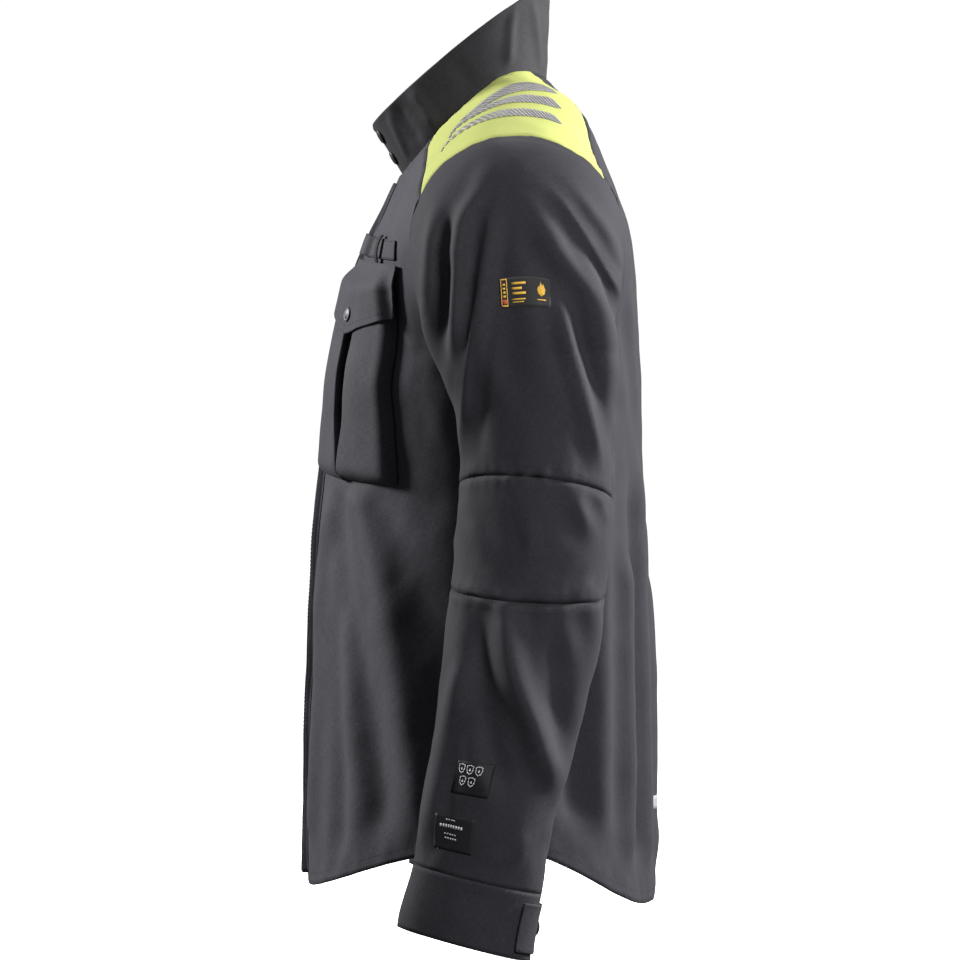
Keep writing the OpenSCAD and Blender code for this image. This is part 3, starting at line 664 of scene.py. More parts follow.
def panel(front):
    n = near(front)[0]
    middle = np.r_[np.linspace(0, BAND, 4), np.linspace(BAND, n, 8)[1:]] if front else np.linspace(0, n, 8)
    low_x = np.r_[middle, (n + ANGLE_X * (HALF - n))[1:]]
    top_x = np.r_[middle, np.linspace(n, HALF, SIDE_COLS + 1)[1:]]
    x = lerp(low_x, top_x, soft((ROWS - 0.45) / 0.5)[:, None])
    x = np.concatenate([-x[:, :0:-1], x], 1)
    u = np.sign(x) * u_of(np.minimum(np.abs(x), HALF))
    v = np.broadcast_to(ROWS[:, None], u.shape)
    return body(u, body_z(u, v, front), front)


yoke_grid = yoke(*mesh_grid((0, 1, SIDE_COLS + 1), (0, 1, 17)))
grids = [panel(True), panel(False), yoke_grid, yoke_grid * MIRROR]
starts = np.cumsum([0] + [g.shape[0] * g.shape[1] for g in grids])
index = [np.arange(a, b).reshape(g.shape[:2]) for g, a, b in zip(grids, starts, starts[1:])]
front_at, back_at, left_at, right_at = index
arm_rows = int(np.searchsorted(ROWS, V_ARM + 1e-9))

# the side seams and the yokes' seams, joined
raw = np.concatenate([g.reshape(-1, 3) for g in grids])
joined = np.arange(len(raw))
joined[back_at[:arm_rows, [0, -1]]] = front_at[:arm_rows, [0, -1]]
for k, at in ((0, front_at), (-1, back_at)):
    joined[left_at[k]] = at[-1, -SIDE_COLS - 1:]
    joined[right_at[k]] = at[-1, SIDE_COLS::-1]
used_points, new = np.unique(joined, return_inverse=True)
body_points = raw[used_points]
body_faces, body_marks, body_uvs = [], [], []
split = grids[0].shape[1] // 2 + 3  # the column at the left front's edge
for g, grid in enumerate(grids):
    at, flip = new[index[g].ravel()], g % 2 == 1
    for f in grid_faces(*grid.shape[:2], flip=flip):
        body_faces.append(tuple(int(at[k]) for k in f))
        body_marks.append(g + 1 if g else int(min(k % grid.shape[1] for k in f) >= split))
    body_uvs += grid_uv(grid, flip=flip)
front_at, back_at, left_at, right_at = (new[i] for i in index)

# (path in x and z, height, width)
FRONT_FOLDS = (
    (((118, -352), (141, -390), (163, -435), (179, -505), (192, -590), (200, -660)), 9, 12),
    (((84, -362), (104, -410), (130, -480), (150, -550), (166, -620), (172, -680)), -7, 12),
    (((70, -375), (58, -450), (66, -560), (60, -690)), 6.5, 14),
    (((100, -450), (112, -540), (124, -640), (120, -700)), -6, 12),
    (((-118, -355), (-140, -400), (-162, -470), (-176, -560), (-190, -660)), 9, 13),
    (((-88, -370), (-112, -440), (-134, -530), (-150, -640)), -7, 12),
    (((-66, -380), (-54, -470), (-62, -580), (-56, -690)), 6.5, 14),
    (((-104, -470), (-118, -570), (-112, -690)), -6, 12),
)
# (x and z of the top, lean, length, height, width)
BACK_FOLDS = (
    (78, -330, 0, 380, 8, 12), (118, -420, 6, 280, 7, 11), (98, -360, 4, 340, -6, 10),
    (160, -330, 6, 340, 7, 12), (186, -330, 4, 330, -7, 11), (-74, -340, -4, 370, 8, 13),
    (-122, -400, -8, 300, 7, 12), (-98, -350, -4, 350, -6, 11), (-166, -320, -4, 340, 7, 13),
    (20, -430, -6, 280, 6, 14), (-28, -380, 6, 330, 5.5, 14), (-4, -450, 2, 260, -5, 11),
    (150, -190, -40, 120, 5, 11), (-150, -195, 38, 120, 5, 11),
)

n = normals(body_points, body_faces)
flat = body_points[:, [0, 2]]
is_front, is_back = soft(-n[:, 1] * 3 + 0.5), soft(n[:, 1] * 3 + 0.5)
fold = np.zeros(len(body_points))
for path, height, width in FRONT_FOLDS:
    fold += is_front * stroke(flat, path, height, width)
for x, z, lean, length, height, width in BACK_FOLDS:
    path = [(x, z), (x + lean, z - length / 2), (x + lean * 1.5, z - length)]
    fold += is_back * stroke(flat, path, height, width)
for k in (1, -1):
    fold += is_front * stroke(flat, [(k * 205, -240), (k * 170, -300), (k * 150, -345)], 4, 9)
    fold += is_front * stroke(flat, [(k * 208, -215), (k * 190, -262), (k * 184, -330)], -3.5, 9)
    fold += is_back * stroke(flat, [(k * 207, -236), (k * 178, -290), (k * 150, -330)], 4, 10)
across, up = np.abs(body_points[:, 0]), body_points[:, 2]
calm = soft((top_z(across, True) - up) / 70) * soft((300 - across) / 80)
# the cloth behind the band and the pockets stays flat
behind = soft((across - 36) / 12) * soft((202 - across) / 16) * soft((up + 380) / 16) * soft((-112 - up) / 14)
flat_held = np.maximum(soft((48 - across) / 20), behind) * is_front
body_rest = body_points + n * (fold * calm * (1 - flat_held))[:, None]

pin = np.maximum(0.22, flat_held)
for at in (left_at, right_at):
    pin[at.ravel()] = 0.62
neck_ring = np.r_[front_at[-1], back_at[-1], left_at[:, 0], right_at[:, 0]]
arm_ring = np.r_[front_at[arm_rows - 1:, [0, -1]].ravel(), back_at[arm_rows - 1:, [0, -1]].ravel(),
                 left_at[:, -1], right_at[:, -1]]
pin[neck_ring] = pin[arm_ring] = 1
body_moved = drape(body_rest, body_faces, pin, 6.0)


def hem_puckers(points, n):
    """Small upright ripples where the hem's stitching gathers the cloth."""
    u = u_of(np.clip(points[:, 0], -HALF, HALF))
    up = points[:, 2] - np.where(n[:, 1] < 0, hem_z(u, True), hem_z(u, False))
    return 1.5 * np.exp(-((up - 11) / 9) ** 2) * wave(points * [1, 1, 0.1], 11.0, 5.0)


seams = [front_at[:arm_rows, 0], front_at[:arm_rows, -1], left_at[0], left_at[-1], right_at[0], right_at[-1],
         arm_ring, neck_ring]
body_cloth = finish_cloth(body_moved, body_faces, body_marks, body_uvs, [dense(body_moved[s]) for s in seams],
                          1.0, hem_puckers)
torso = Cloth(body_points, body_moved, *body_cloth[:2])
for mark, (name, node_name, mat, slot, size) in enumerate((
        ("right_front_cloth", "right_front_panel", front_cloth, "front_cloth", (0.32, 0.68)),
        ("left_front_cloth", "left_front_panel", front_cloth, "front_cloth", (0.28, 0.68)),
        ("back_cloth", "back_panel", main, "main_cloth", (0.53, 0.74)),
        ("left_yoke_cloth", "left_shoulder_yoke", lime, "lime_cloth", (0.19, 0.15)),
        ("right_yoke_cloth", "right_shoulder_yoke", lime, "lime_cloth", (0.19, 0.15)))):
    o = thick(name, *part_of(body_cloth, mark), mat, CLOTH_DEPTH)
    settle(o, "torso", slot, [node_name], size, "hung", ["outer_collar", "left_upper_sleeve"],
           cut_area(body_points, body_faces, body_marks, mark))

# ---------- sleeves ----------

COLS = 72
ring = np.arange(COLS) * 360.0 / COLS - 180
R_UP, R_LOW, R_CUFF = 43, 54, 83  # the rows at the two elbow seams and the cuff's seam
edges = [0 * ring, upper_seam(ring), lower_seam(ring), CUFF_SEAM + 0 * ring, CUFF_END + 0 * ring]
levels = [np.linspace(-90, 0, 31)[:, None] + 0 * ring]
for a, b, k in zip(edges, edges[1:], (13, 11, 29, 7)):
    levels.append(np.array([lerp(a, b, i / k) for i in range(1, k + 1)]))
s_rows = np.concatenate(levels)
arm_grid = arm(s_rows, ring[None, :])
arm_flat = arm_grid.reshape(-1, 3)
arm_faces = grid_faces(*arm_grid.shape[:2], closed=True, flip=True)
arm_uvs = grid_uv(arm_grid, closed=True, flip=True)
arm_marks = [(i >= R_UP) + (i >= R_LOW) + (i >= R_CUFF) for i in range(len(s_rows) - 1) for _ in range(COLS)]

# (path in y and z, height, width)
SLEEVE_FOLDS = (
    (((-50, -104), (-68, -140), (-75, -181), (-77, -235), (-78, -273), (-75, -312)), 6.5, 7),
    (((-95, -128), (-100, -160), (-101, -230), (-80, -300)), 4.5, 6),
    (((-86, -130), (-89, -190), (-88, -250)), -6.0, 6),
    (((8, -110), (31, -136), (50, -160), (60, -190)), 5.0, 7),
    (((-12, -138), (8, -177), (31, -204), (43, -231), (49, -263), (53, -300)), 8.0, 10),
    (((-40, -150), (-38, -220), (-30, -300)), -4.0, 13),
    (((25, -160), (48, -195), (58, -235)), -4.5, 6),
    (((-60, -140), (-66, -200), (-72, -270)), -4.5, 5),
    (((18, -215), (30, -262), (42, -320)), -4.0, 7),
    (((14, -368), (24, -386), (36, -408)), 4.5, 7),
    (((-18, -392), (-17, -408), (-16, -424)), 3.0, 5),
    (((-70, -395), (-62, -412), (-50, -424)), 3.0, 6),
    (((-40, -452), (-33, -509), (-19, -554), (-6, -591), (8, -620)), 10.0, 10),
    (((-62, -470), (-58, -530), (-46, -590), (-30, -630)), -5.0, 10),
    (((2, -480), (8, -540), (16, -590)), -6.0, 9),
    (((30, -452), (38, -490), (30, -540)), 5.0, 8),
    (((-70, -500), (-84, -560), (-96, -620), (-104, -680)), 4.5, 7),
    (((-20, -650), (-30, -680)), 3.0, 8),
)
SLEEVE_CREASES = (
    (((-47, -126), (-50, -158), (-58, -208), (-66, -254), (-70, -292), (-72, -330), (-75, -350)), 5.5, 5),
    (((-4, -112), (19, -147), (40, -181), (54, -202), (62, -218)), 5.5, 5),
    (((4, -200), (13, -246), (25, -288), (36, -330), (44, -358)), 5.0, 5),
    (((-72, -126), (-78, -160), (-84, -190)), 2.6, 4),
    (((34, -372), (42, -384), (48, -402)), 2.8, 4),
    (((36, -446), (26, -452), (18, -462)), 2.8, 4),
    (((-70, -446), (-58, -458), (-52, -470)), 2.6, 4),
    (((-22, -355), (-20, -364)), 2.0, 3),
    (((-6, -352), (-4, -364)), 2.0, 3),
    (((-36, -353), (-34, -364)), 1.6, 3),
)
INNER_FOLDS = ((-300, 3.0), (-345, -2.5), (-400, 3.5), (-430, -3.0), (-520, 2.5))  # (z, height)

n = normals(arm_flat, arm_faces)
outside, inside = soft(n[:, 0] * 2.5 + 0.35), soft(-n[:, 0] * 2.5 + 0.2)
fold = np.zeros(len(arm_flat))
for path, height, width in SLEEVE_FOLDS:
    fold += outside * stroke(arm_flat[:, [1, 2]], path, height, width)
for z, height in INNER_FOLDS:
    fold += inside * height * np.exp(-((arm_flat[:, 2] - z - 0.15 * arm_flat[:, 1]) / 11) ** 2)
s = s_rows.ravel()
fold *= soft((s + 88) / 25) * soft((CUFF_SEAM - 4 - s) / 40)
pin = np.full(len(arm_flat), 0.25)
pin[:COLS] = 1
pin[R_CUFF * COLS:] = 0.6
arm_moved = drape(arm_flat + n * fold[:, None], arm_faces, pin, 5.0)


def sleeve_creases(points, n):
    yz = points[:, [1, 2]]
    return soft(n[:, 0] * 3 + 0.2) * sum(stroke(yz, *crease, True) for crease in SLEEVE_CREASES)


moved_grid = arm_moved.reshape(arm_grid.shape)
arm_seams = [dense(np.concatenate([moved_grid[k], moved_grid[k, :1]])) for k in (0, R_UP, R_LOW)]
arm_seams.append(dense(moved_grid[:, 0]))
sleeve_cloth = finish_cloth(arm_moved, arm_faces, arm_marks, arm_uvs, arm_seams, 0.9, sleeve_creases)
sleeve = Cloth(arm_flat, arm_moved, *sleeve_cloth[:2])


def elbow(side):
    """The bodies a sleeve bends between, and where."""
    return side + "_upper_arm", side + "_forearm", (0, -0.02, -0.345), (0, -0.02, -0.485)


for side in ("left", "right"):
    for mark, (part, size) in enumerate((("upper_sleeve", (0.43, 0.34)), ("elbow_panel", (0.37, 0.10)),
                                         ("lower_sleeve", (0.37, 0.26)), ("cuff", (0.29, 0.056)))):
        data = part_of(sleeve_cloth, mark)
        where = side + "_forearm" if part == "cuff" else elbow(side)
        o = thick(f"{side}_{part}_cloth", *(flipped(*data) if side == "right" else data), main, CLOTH_DEPTH)
        settle(o, where, "main_cloth", [f"{side}_{part}"], size, "hung", [side + "_yoke_cloth"],
               cut_area(arm_flat, arm_faces, arm_marks, mark))

# ---------- stitching ----------

STITCH, STITCH_GAP, THREAD = 2.7, 0.9, 0.36  # a stitch's length, the gap after it and half its width


def stitches_along(line, ns):
    """One thread's stitches along points on the cloth, with the normals there."""
    step, out = lengths(line), []
    for k in range(int(step[-1] / (STITCH + STITCH_GAP))):
        a = k * (STITCH + STITCH_GAP)
        ends = [np.array([np.interp(t, step, line[:, i]) for i in range(3)]) for t in (a, a + STITCH)]
        n = np.array([np.interp(a + STITCH / 2, step, ns[:, i]) for i in range(3)])
        mid = (ends[0] + ends[1]) / 2 + n * THREAD * 0.45
        side = np.cross(ends[1] - ends[0], n)
        side = side / max(np.linalg.norm(side), 1e-9) * THREAD
        out.append((ends[0] - n * 0.25, ends[1] - n * 0.25, mid, mid - n * 0.6, mid + side - n * 0.2,
                    mid - side - n * 0.2))
    return out


def stitch(cloth, line, lift=0.1):
    return stitches_along(*cloth.lay(line, lift))


def sewn(name, lines, where, slot, mirror=False, mat=thread):
    """Lines of stitches as one object. mirror makes the right side's copy of the left side's."""
    points, faces = np.array([p for line in lines for s in line for p in s]), []
    for k in range(0, len(points), 6):
        a, b, top, low, left, right = range(k, k + 6)
        faces += [(a, top, left), (a, right, top), (b, left, top), (b, top, right),
                  (a, left, low), (a, low, right), (b, low, left), (b, right, low)]
    if mirror:
        points, faces = points * MIRROR, [f[::-1] for f in faces]
    return settle(make(name, points, faces, mat), where, slot)


b = np.linspace(-180, 180, 97)
elbow_rings = (upper_seam(b) - 2.2, lower_seam(b) + 2.2, upper_seam(b) - 8, lower_seam(b) + 8)
elbow_lines = [stitch(sleeve, arm(s, b)) for s in elbow_rings]
cuff_lines = [stitch(sleeve, arm(s, b)) for s in (CUFF_SEAM + 2.5, CUFF_SEAM + 8.5, CUFF_END - 3)]
for side in ("left", "right"):
    sewn(side + "_elbow_stitches", elbow_lines, elbow(side), "main_cloth", side == "right")
    sewn(side + "_cuff_stitches", cuff_lines, side + "_forearm", "main_cloth", side == "right")

t = np.linspace(0, 1, 90)
body_lines = []
for k in (1, -1):
    for front, first in ((True, 26), (False, 0.5)):
        x = lerp(first, 205, t)
        body_lines += [body(k * u_of(x), hem_z(u_of(x), front) + up, front) for up in (3.5, 10)]
    for front, first, last in ((True, 66, 209), (False, 50, 209), (False, 0.5, 50)):
        x = lerp(first, last, t)
        body_lines.append(body(k * u_of(x), top_z(x, front) - 3, front))
body_lines.append(on_front(24.0, lerp(-712, -100, t)))
sewn("body_stitches", [stitch(torso, line) for line in body_lines], "torso", "front_cloth")
most = lerp(0.03, 0.97, t)
yoke_lines = [stitch(torso, yoke(*at)) for at in ((most, 0.03), (most, 0.97), (0.975, most), (0.035, most))]
for side in ("left", "right"):
    sewn(side + "_yoke_stitches", yoke_lines, "torso", "lime_cloth", side == "right", lime_thread)


def piece(name, grid, mat, depth, where, slot, nodes=(), flip=False, mirror=False, lod=1, **sheet):
    """Cloth, tape or film over a grid of points. mirror makes the right side's copy of a left piece."""
    data = grid.reshape(-1, 3), grid_faces(*grid.shape[:2], flip=flip), grid_uv(grid, flip=flip)
    o = thick(name, *(flipped(*data) if mirror else data), mat, depth, lod)
    return settle(o, where, slot, nodes, **sheet)


# ---------- collar ----------

# (angle round the neck, lean, height, width)
COLLAR_CREASES = ((62, -8, 3.0, 4), (88, 10, -2.4, 5), (118, 8, 4.2, 4), (134, 6, -3.0, 4),
                  (152, -6, 3.0, 4), (26, 12, 3.2, 5), (-40, 8, 3.0, 6), (-84, -10, 3.2, 5),
                  (-120, -6, 3.5, 5), (-150, 6, 2.4, 4))
COLLAR_END = 190


def collar_lift(f, h):
    """Soft creases that run up the collar, and a light crumple."""
    creases = 0.0
    for at, lean, height, width in COLLAR_CREASES:
        creases = creases + height * np.exp(-((f - at - lean * h) / width) ** 2)
    creases = creases * soft(h * 3 + 0.15) * soft((1.05 - h) * 3)
    crumple = wave(collar(f, h, 0)[0].reshape(-1, 3), 26.0, 12.0).reshape(f.shape) * 1.2 * soft(h * 4)
    return (creases * 0.75 + crumple) * soft((168 - np.abs(f)) / 20)


def collar_grid(f0, f1, h0, h1, nf, nh, off):
    f, h = mesh_grid((f0, f1, nf), (h0, h1, nh))
    p, n = collar(f, h, off + collar_lift(f, h))
    p[..., 2] -= 5 * soft((np.abs(f) - 178) / 12) * h ** 4
    return p, n


for name, mat, slot, h0, h1, off, width in (
        ("outer_collar", collar_cloth, "collar_cloth", -0.06, 1, 1.45, 0.49),
        ("inner_collar", main, "main_cloth", -0.05, 0.985, -0.1, 0.48)):
    grid = collar_grid(-COLLAR_END, COLLAR_END, h0, h1, 241, 20, off)[0]
    piece(name + "_cloth", grid, mat, 1.3, "torso", slot, [name], True, flat=(width, 0.07), held="hung",
          rests=["back_cloth"])
collar_lines = [collar_grid(-186, 186, h, h, 400, 1, 1.5) for h in (0.9, 0.05)]
collar_lines += [collar_grid(f, f, 0.05, 0.9, 1, 60, 1.5) for f in (-184.5, 184.5)]
sewn("collar_stitches", [stitches_along(p.reshape(-1, 3), n.reshape(-1, 3)) for p, n in collar_lines],
     "torso", "collar_cloth")
piece("neck_tape_strip", collar_grid(60, -60, 0.04, 0.24, 61, 5, -1.9)[0], tape_mat, 0.7, "torso", "tape",
      ["neck_tape"], lod=0, flat=(0.157, 0.0135), rests=["inner_collar_cloth"])

# the hang loop: a webbing strap that goes down, round and back up
LOOP_R, LOOP_WIDTH, LOOP_RUN, LOOP_DIP = 24.5, 7.0, 8.5, 12
side_run = np.linspace(0, LOOP_RUN, 5)
turn = np.radians(np.linspace(0, 180, 25))[1:-1]
route = np.array([(-LOOP_R, -z) for z in side_run]
                 + [(-LOOP_R * math.cos(a), -LOOP_RUN - LOOP_DIP * math.sin(a) ** 0.8) for a in turn]
                 + [(LOOP_R, -z) for z in side_run[::-1]])
tangent = unit(np.gradient(route, axis=0))
sideways = np.stack([-tangent[:, 1], tangent[:, 0]], -1)
strap = []
for k in np.linspace(-LOOP_WIDTH / 2, LOOP_WIDTH / 2, 5):
    x, z = (route + k * sideways).T
    strap.append(xyz(x, -9.6 + 0.25 * math.cos(k), z))
piece("hang_loop_webbing", np.stack(strap), tape_mat, 1.2, "hang_loop", "tape", ["hang_loop"], lod=0)

# ---------- front band ----------

BAND_HALF, BAND_OUT, BAND_TOP, BAND_END = 22.0, 6.0, -97, -713.0
BAND_BEND = ("torso", "front_band", (0.022, -0.211, -0.205), (0.022, -0.211, -0.296))


def band_sink(z):
    """How much closer the band lies near the collar."""
    return 3.2 * soft((z + 150) / 45)


x, z = mesh_grid((-BAND_HALF, BAND_HALF, 9), (BAND_END, BAND_TOP, 150))
base = on_front(x, z)
ripple = 0.5 * wave(base.reshape(-1, 3) * [1, 1, 0.35], 30.0, 2.0).reshape(x.shape)
piece("front_band_cloth", torso.over(base, BAND_OUT - band_sink(z) + ripple), front_cloth, 1.5, BAND_BEND,
      "front_cloth", ["front_band", "front_band_top"], flat=(0.044, 0.66), rests=["left_front_cloth"])
x, z = mesh_grid([21.4, 22.6, 23.8, 24.8, 25.8], (BAND_END, BAND_TOP, 150))
lift = 0.8 + (5.2 - band_sink(z)) * (1 - soft((x - 21.6) / 3.6))
piece("front_band_edge", torso.over(on_front(x, z), lift), front_cloth, CLOTH_DEPTH, "torso", "front_cloth",
      lod=0, flat=(0.01, 0.62), rests=["left_front_cloth"])
z = lerp(BAND_END + 4, BAND_TOP - 4, t)
lines = [stitch(torso, on_front(x, z), BAND_OUT + 0.2 - band_sink(z)) for x in (-18.5, 18.5)]
sewn("front_band_stitches", lines, BAND_BEND, "front_cloth")

# ---------- chest pockets ----------

PX0, PX1, PTOP, PBOT = 50.0, 176.0, -170.0, -356.0
PMID, ROOM, PGAP = (PX0 + PX1) / 2, 10.0, 0.8
FLAP = ROOM + 3.9


def chest(x, z):
    """A place on the chest, in the pocket's slightly turned plane."""
    return on_front(x, z - 11 * (x - PX0) / (PX1 - PX0))


def quarter_sin(k):
    """0 below 0, 1 above 1, and a quarter of a wave between."""
    return sin(90 * np.clip(k, 0, 1))


def pleat(z):
    """Half the width of the pleat's opening at a height."""
    open_width = 8.0 * soft((z - PBOT - 4) / 60) * (1 - 0.25 * soft((-300 - z) / 40))
    return open_width + 0.25 * np.sin(z / 5.5) * soft((z - PBOT - 10) / 30)


PLEAT_X = np.array([-5, -1.6, -0.5, 0.1, -0.1, -2.6, -6.5])  # one side of the pleat, from its edge inwards
PLEAT_DEPTH = np.array([0, 0, -0.35, -1.4, -3.4, -8.4, -9.0])


def pocket_grid():
    """The pouch: edges sewn to the chest, walls standing up, and a box pleat folded in down its middle."""
    left = np.r_[PX0, PX0 + 0.8, PX0 + 2, PX0 + 5, PX0 + 9, np.linspace(PX0 + 15, PMID - 12, 10)]
    heights = np.r_[PBOT, PBOT + 1, PBOT + 2.5, PBOT + 6, PBOT + 11, np.linspace(PBOT + 18, PTOP - 18, 32)]
    xs, lifts = [], []
    for z in heights:
        half = np.r_[left, PMID - float(pleat(z)) + PLEAT_X]
        x = np.r_[half, 2 * PMID - half[::-1]]
        dip = np.r_[0 * left, PLEAT_DEPTH * float(soft((z - PBOT - 2) / 12))]
        edge = np.minimum(np.minimum((x - PX0) / 9, (PX1 - x) / 9), (z - PBOT) / 9)
        rise = (ROOM + 1.6) * quarter_sin(edge) ** 0.8
        xs.append(x)
        lifts.append(np.maximum(1.7, PGAP + 0.2 + rise + np.r_[dip, dip[::-1]] * np.clip(rise / ROOM, 0, 1)))
    x, lift = np.array(xs), np.array(lifts)
    z = np.broadcast_to(heights[:, None], x.shape)
    sag = 0.9 * np.sin((x - PX0) / 11) * soft((z - PBOT) / 40)
    sag = sag * soft((x - PX0 - 8) / 8) * soft((PX1 - 8 - x) / 8)
    return x, z, lift + sag * (np.abs(x - PMID) > 11)


def flap_z(x, t):
    """Heights on the flap; t is 0 at its hinge and 1 at its pointed edge."""
    return PTOP + 4 - t * lerp(46, 66, 1 - np.abs(x - PMID) / ((PX1 - PX0) / 2 + 3))


def flap_lift(x, t):
    """How far the flap's outer face stands off the chest, over the pouch and down its sides."""
    away = np.abs(x - PMID)
    ripple = 0.5 * np.sin((x - PMID) / 9) * soft(t * 2 - 0.3) * soft(away / 12 - 1)
    return lerp(2.8, FLAP, soft(t * 2.2)) + 1.5 - 9 * soft((away - 54) / 12) * soft(t * 2) + ripple


STRAP_X = np.r_[54, 57, 61, 64, 66.5, 69, np.linspace(73, 91, 7), 95, 97.5, 100, 103, 107,
                np.linspace(112, 184, 15)]
across = np.linspace(PX0 + 3, PX1 - 3, 80)
down = np.linspace(0.3, 0.86, 40)
for side in ("left", "right"):
    right, rests = side == "right", [side + "_front_cloth"]

    def laid(x, z, lift):
        return torso.over(mirrored(chest(x, z), side), lift)

    def chest_stitch(x, z, lift):
        return stitch(torso, mirrored(chest(x, z), side), lift)

    piece(side + "_pocket_cloth", laid(*pocket_grid()), front_cloth, 1.1, "torso", "front_cloth",
          [side + "_pocket"], right, flat=(0.165, 0.195), rests=rests)
    x, down_flap = mesh_grid((PX0 - 3, PX1 + 3, 41), (1, 0, 27))
    x = x + 12 * soft((x - PMID) / 66) * (1 - down_flap) ** 1.2
    hinge = mirrored(chest(PMID, PTOP + 4), side) * MM
    bend = ("torso", side + "_pocket_flap", tuple(hinge), tuple(hinge - [0, 0, 0.016]))
    flap = laid(x, flap_z(x, down_flap), flap_lift(x, down_flap))
    piece(side + "_flap_cloth", flap, front_cloth, 1.4, bend, "front_cloth", [side + "_pocket_flap"], right,
          flat=(0.132, 0.068), rests=rests)
    lines = [chest_stitch(across, flap_z(across, 1) + 6.5, flap_lift(across, 0.88) + 0.1)]
    lines += [chest_stitch(x, flap_z(x, down), flap_lift(x, down) + 0.1) for x in (PX0 + 2.5, PX1 - 2.5)]
    sewn(side + "_flap_stitches", lines, side + "_pocket_flap", "front_cloth")
    lines = [chest_stitch(across, PBOT + 1.0, 3.2), chest_stitch(across, PTOP + 2.6, 4.4)]
    sewn(side + "_pocket_stitches", lines, "torso", "front_cloth")
    # the clip strap above the pocket, with its small standing loop
    x, z = mesh_grid(STRAP_X, (-162, -145, 7))
    rise = 5.5 * quarter_sin(np.minimum((x - 61) / 8, (103 - x) / 8))
    piece(side + "_chest_strap", laid(x, z, rise + 1.9), front_cloth, CLOTH_DEPTH, "torso", "front_cloth",
          [side + "_chest_loop"], right, flat=(0.145, 0.017), rests=rests)
    x, z = mesh_grid((138.5, 146.5, 5), (-166, -142, 13))
    hump = 2.4 + 3.0 * np.maximum(0, sin(180 * np.clip((z + 166) / 24, 0, 1))) ** 0.5
    piece(side + "_strap_bar", laid(x, z, hump + 1.0), tape_mat, 1.0, "torso", "tape", flip=right)
    lines = [chest_stitch(np.array([x, x]), np.array([-161.0, -146.0]), 1.9) for x in (56, 59, 181.0)]
    lines += [chest_stitch(lerp(106, 182, t), z, 2.1) for z in (-160.6, -146.4)]
    sewn(side + "_strap_stitches", lines, "torso", "front_cloth")

# ---------- film, badge and prints ----------

# each row of film, in shares of the yoke: across at its back and front end, along at its front and back end;
# then the first strip's place and the length of the taper in millimetres
FILM_ROWS = ((0.21, 0.50, 0.24, 0.85, 16.0, 26), (0.39, 0.66, 0.18, 0.81, 1.0, 54),
             (0.61, 0.76, 0.13, 0.785, 1.0, 62))
YOKE_SIZE = np.array([145, 170])  # about how large the yoke is, across and along


def film_path(row, t):
    return np.array([lerp(row[0], row[1], (1 - t) ** 3), lerp(row[2], row[3], t ** 1.6)])


def film_strips(row):
    """Slanted strips along a row, narrowing to its front end."""
    t = np.linspace(0, 1, 400)
    run = lengths(yoke(*np.array([film_path(row, k) for k in t]).T))
    out, k = [], row[4]
    while k < run[-1] - 4:
        step = lerp(8.0, 3.4, soft(k / run[-1] * 1.3))
        taper = float(soft((k + 4) / row[5]))
        half = lerp(0.6, 8.2, taper) * (1.0 if run[-1] - k > 8 else 0.8)
        strip = []
        for across in (-1, -0.6, -0.2, 0.2, 0.6, 1):
            for along in (0, 0.5, 1):
                at = np.interp(k + along * step * 0.74 + across * 3.4 * taper + 2.2, run, t)
                d = unit((film_path(row, min(1, at + 0.01)) - film_path(row, max(0, at - 0.01))) * YOKE_SIZE)
                strip.append(film_path(row, at) + across * half * np.array([d[1], -d[0]]) / YOKE_SIZE)
        out.append(np.array(strip).reshape(6, 3, 2))
        k += step
    return out


def tiles(name, grids, mat, depth, where, slot, nodes=(), flip=True):
    """Many small flat pieces as one object."""
    points, faces, uvs, count = [], [], [], 0
    for g in grids:
        faces += [tuple(v + count for v in f) for f in grid_faces(*g.shape[:2], flip=flip)]
        uvs += grid_uv(g, flip=flip)
        points.append(g.reshape(-1, 3))
        count += len(points[-1])
    return settle(thick(name, np.concatenate(points), faces, uvs, mat, depth), where, slot, nodes)


strips = [yoke(g[..., 0], g[..., 1]) for row in FILM_ROWS for g in film_strips(row)]
for side in ("left", "right"):
    tiles(side + "_film_rows", [torso.over(mirrored(g, side), 0.32) for g in strips], film, 0.3, "torso",
          "reflective_film", [side + "_reflectors"], side == "right")


def on_arm(g, lift):
    return sleeve.over(arm(g[..., 0], g[..., 1]), lift)


def arm_rect(s0, s1, b0, b1, rows, cols):
    b, s = mesh_grid((b0, b1, cols), (s0, s1, rows))
    return np.stack([s, b], -1)


def outline(points, s_mid, b_mid, s_size, b_size, width=1.0):
    """A line along the inside of a closed outline, as small quads; at width 1 it fills the outline."""
    p = np.array(points, float)
    inner = p.mean(0) + (p - p.mean(0)) * (1 - width)
    out = []
    for a, b, c, d in zip(p, np.roll(p, -1, 0), inner, np.roll(inner, -1, 0)):
        quad = np.array([[c, d], [a, b]])
        out.append(np.stack([s_mid - quad[..., 1] * s_size, b_mid + quad[..., 0] * b_size], -1))
    return out


FLAME = [(0, -1), (-0.75, -0.7), (-1, -0.1), (-0.7, 0.35), (-0.55, 0.05), (-0.1, 1), (0.2, 0.45),
         (0.45, 0.75), (0.95, 0), (0.8, -0.65)]
SHIELD = [(0, -1), (-0.7, -0.55), (-0.9, 0.1), (-0.9, 0.8), (0, 1), (0.9, 0.8), (0.9, 0.1), (0.7, -0.55)]
DROPLET = [(0, -0.5), (-0.35, -0.2), (0, 0.5), (0.35, -0.2)]

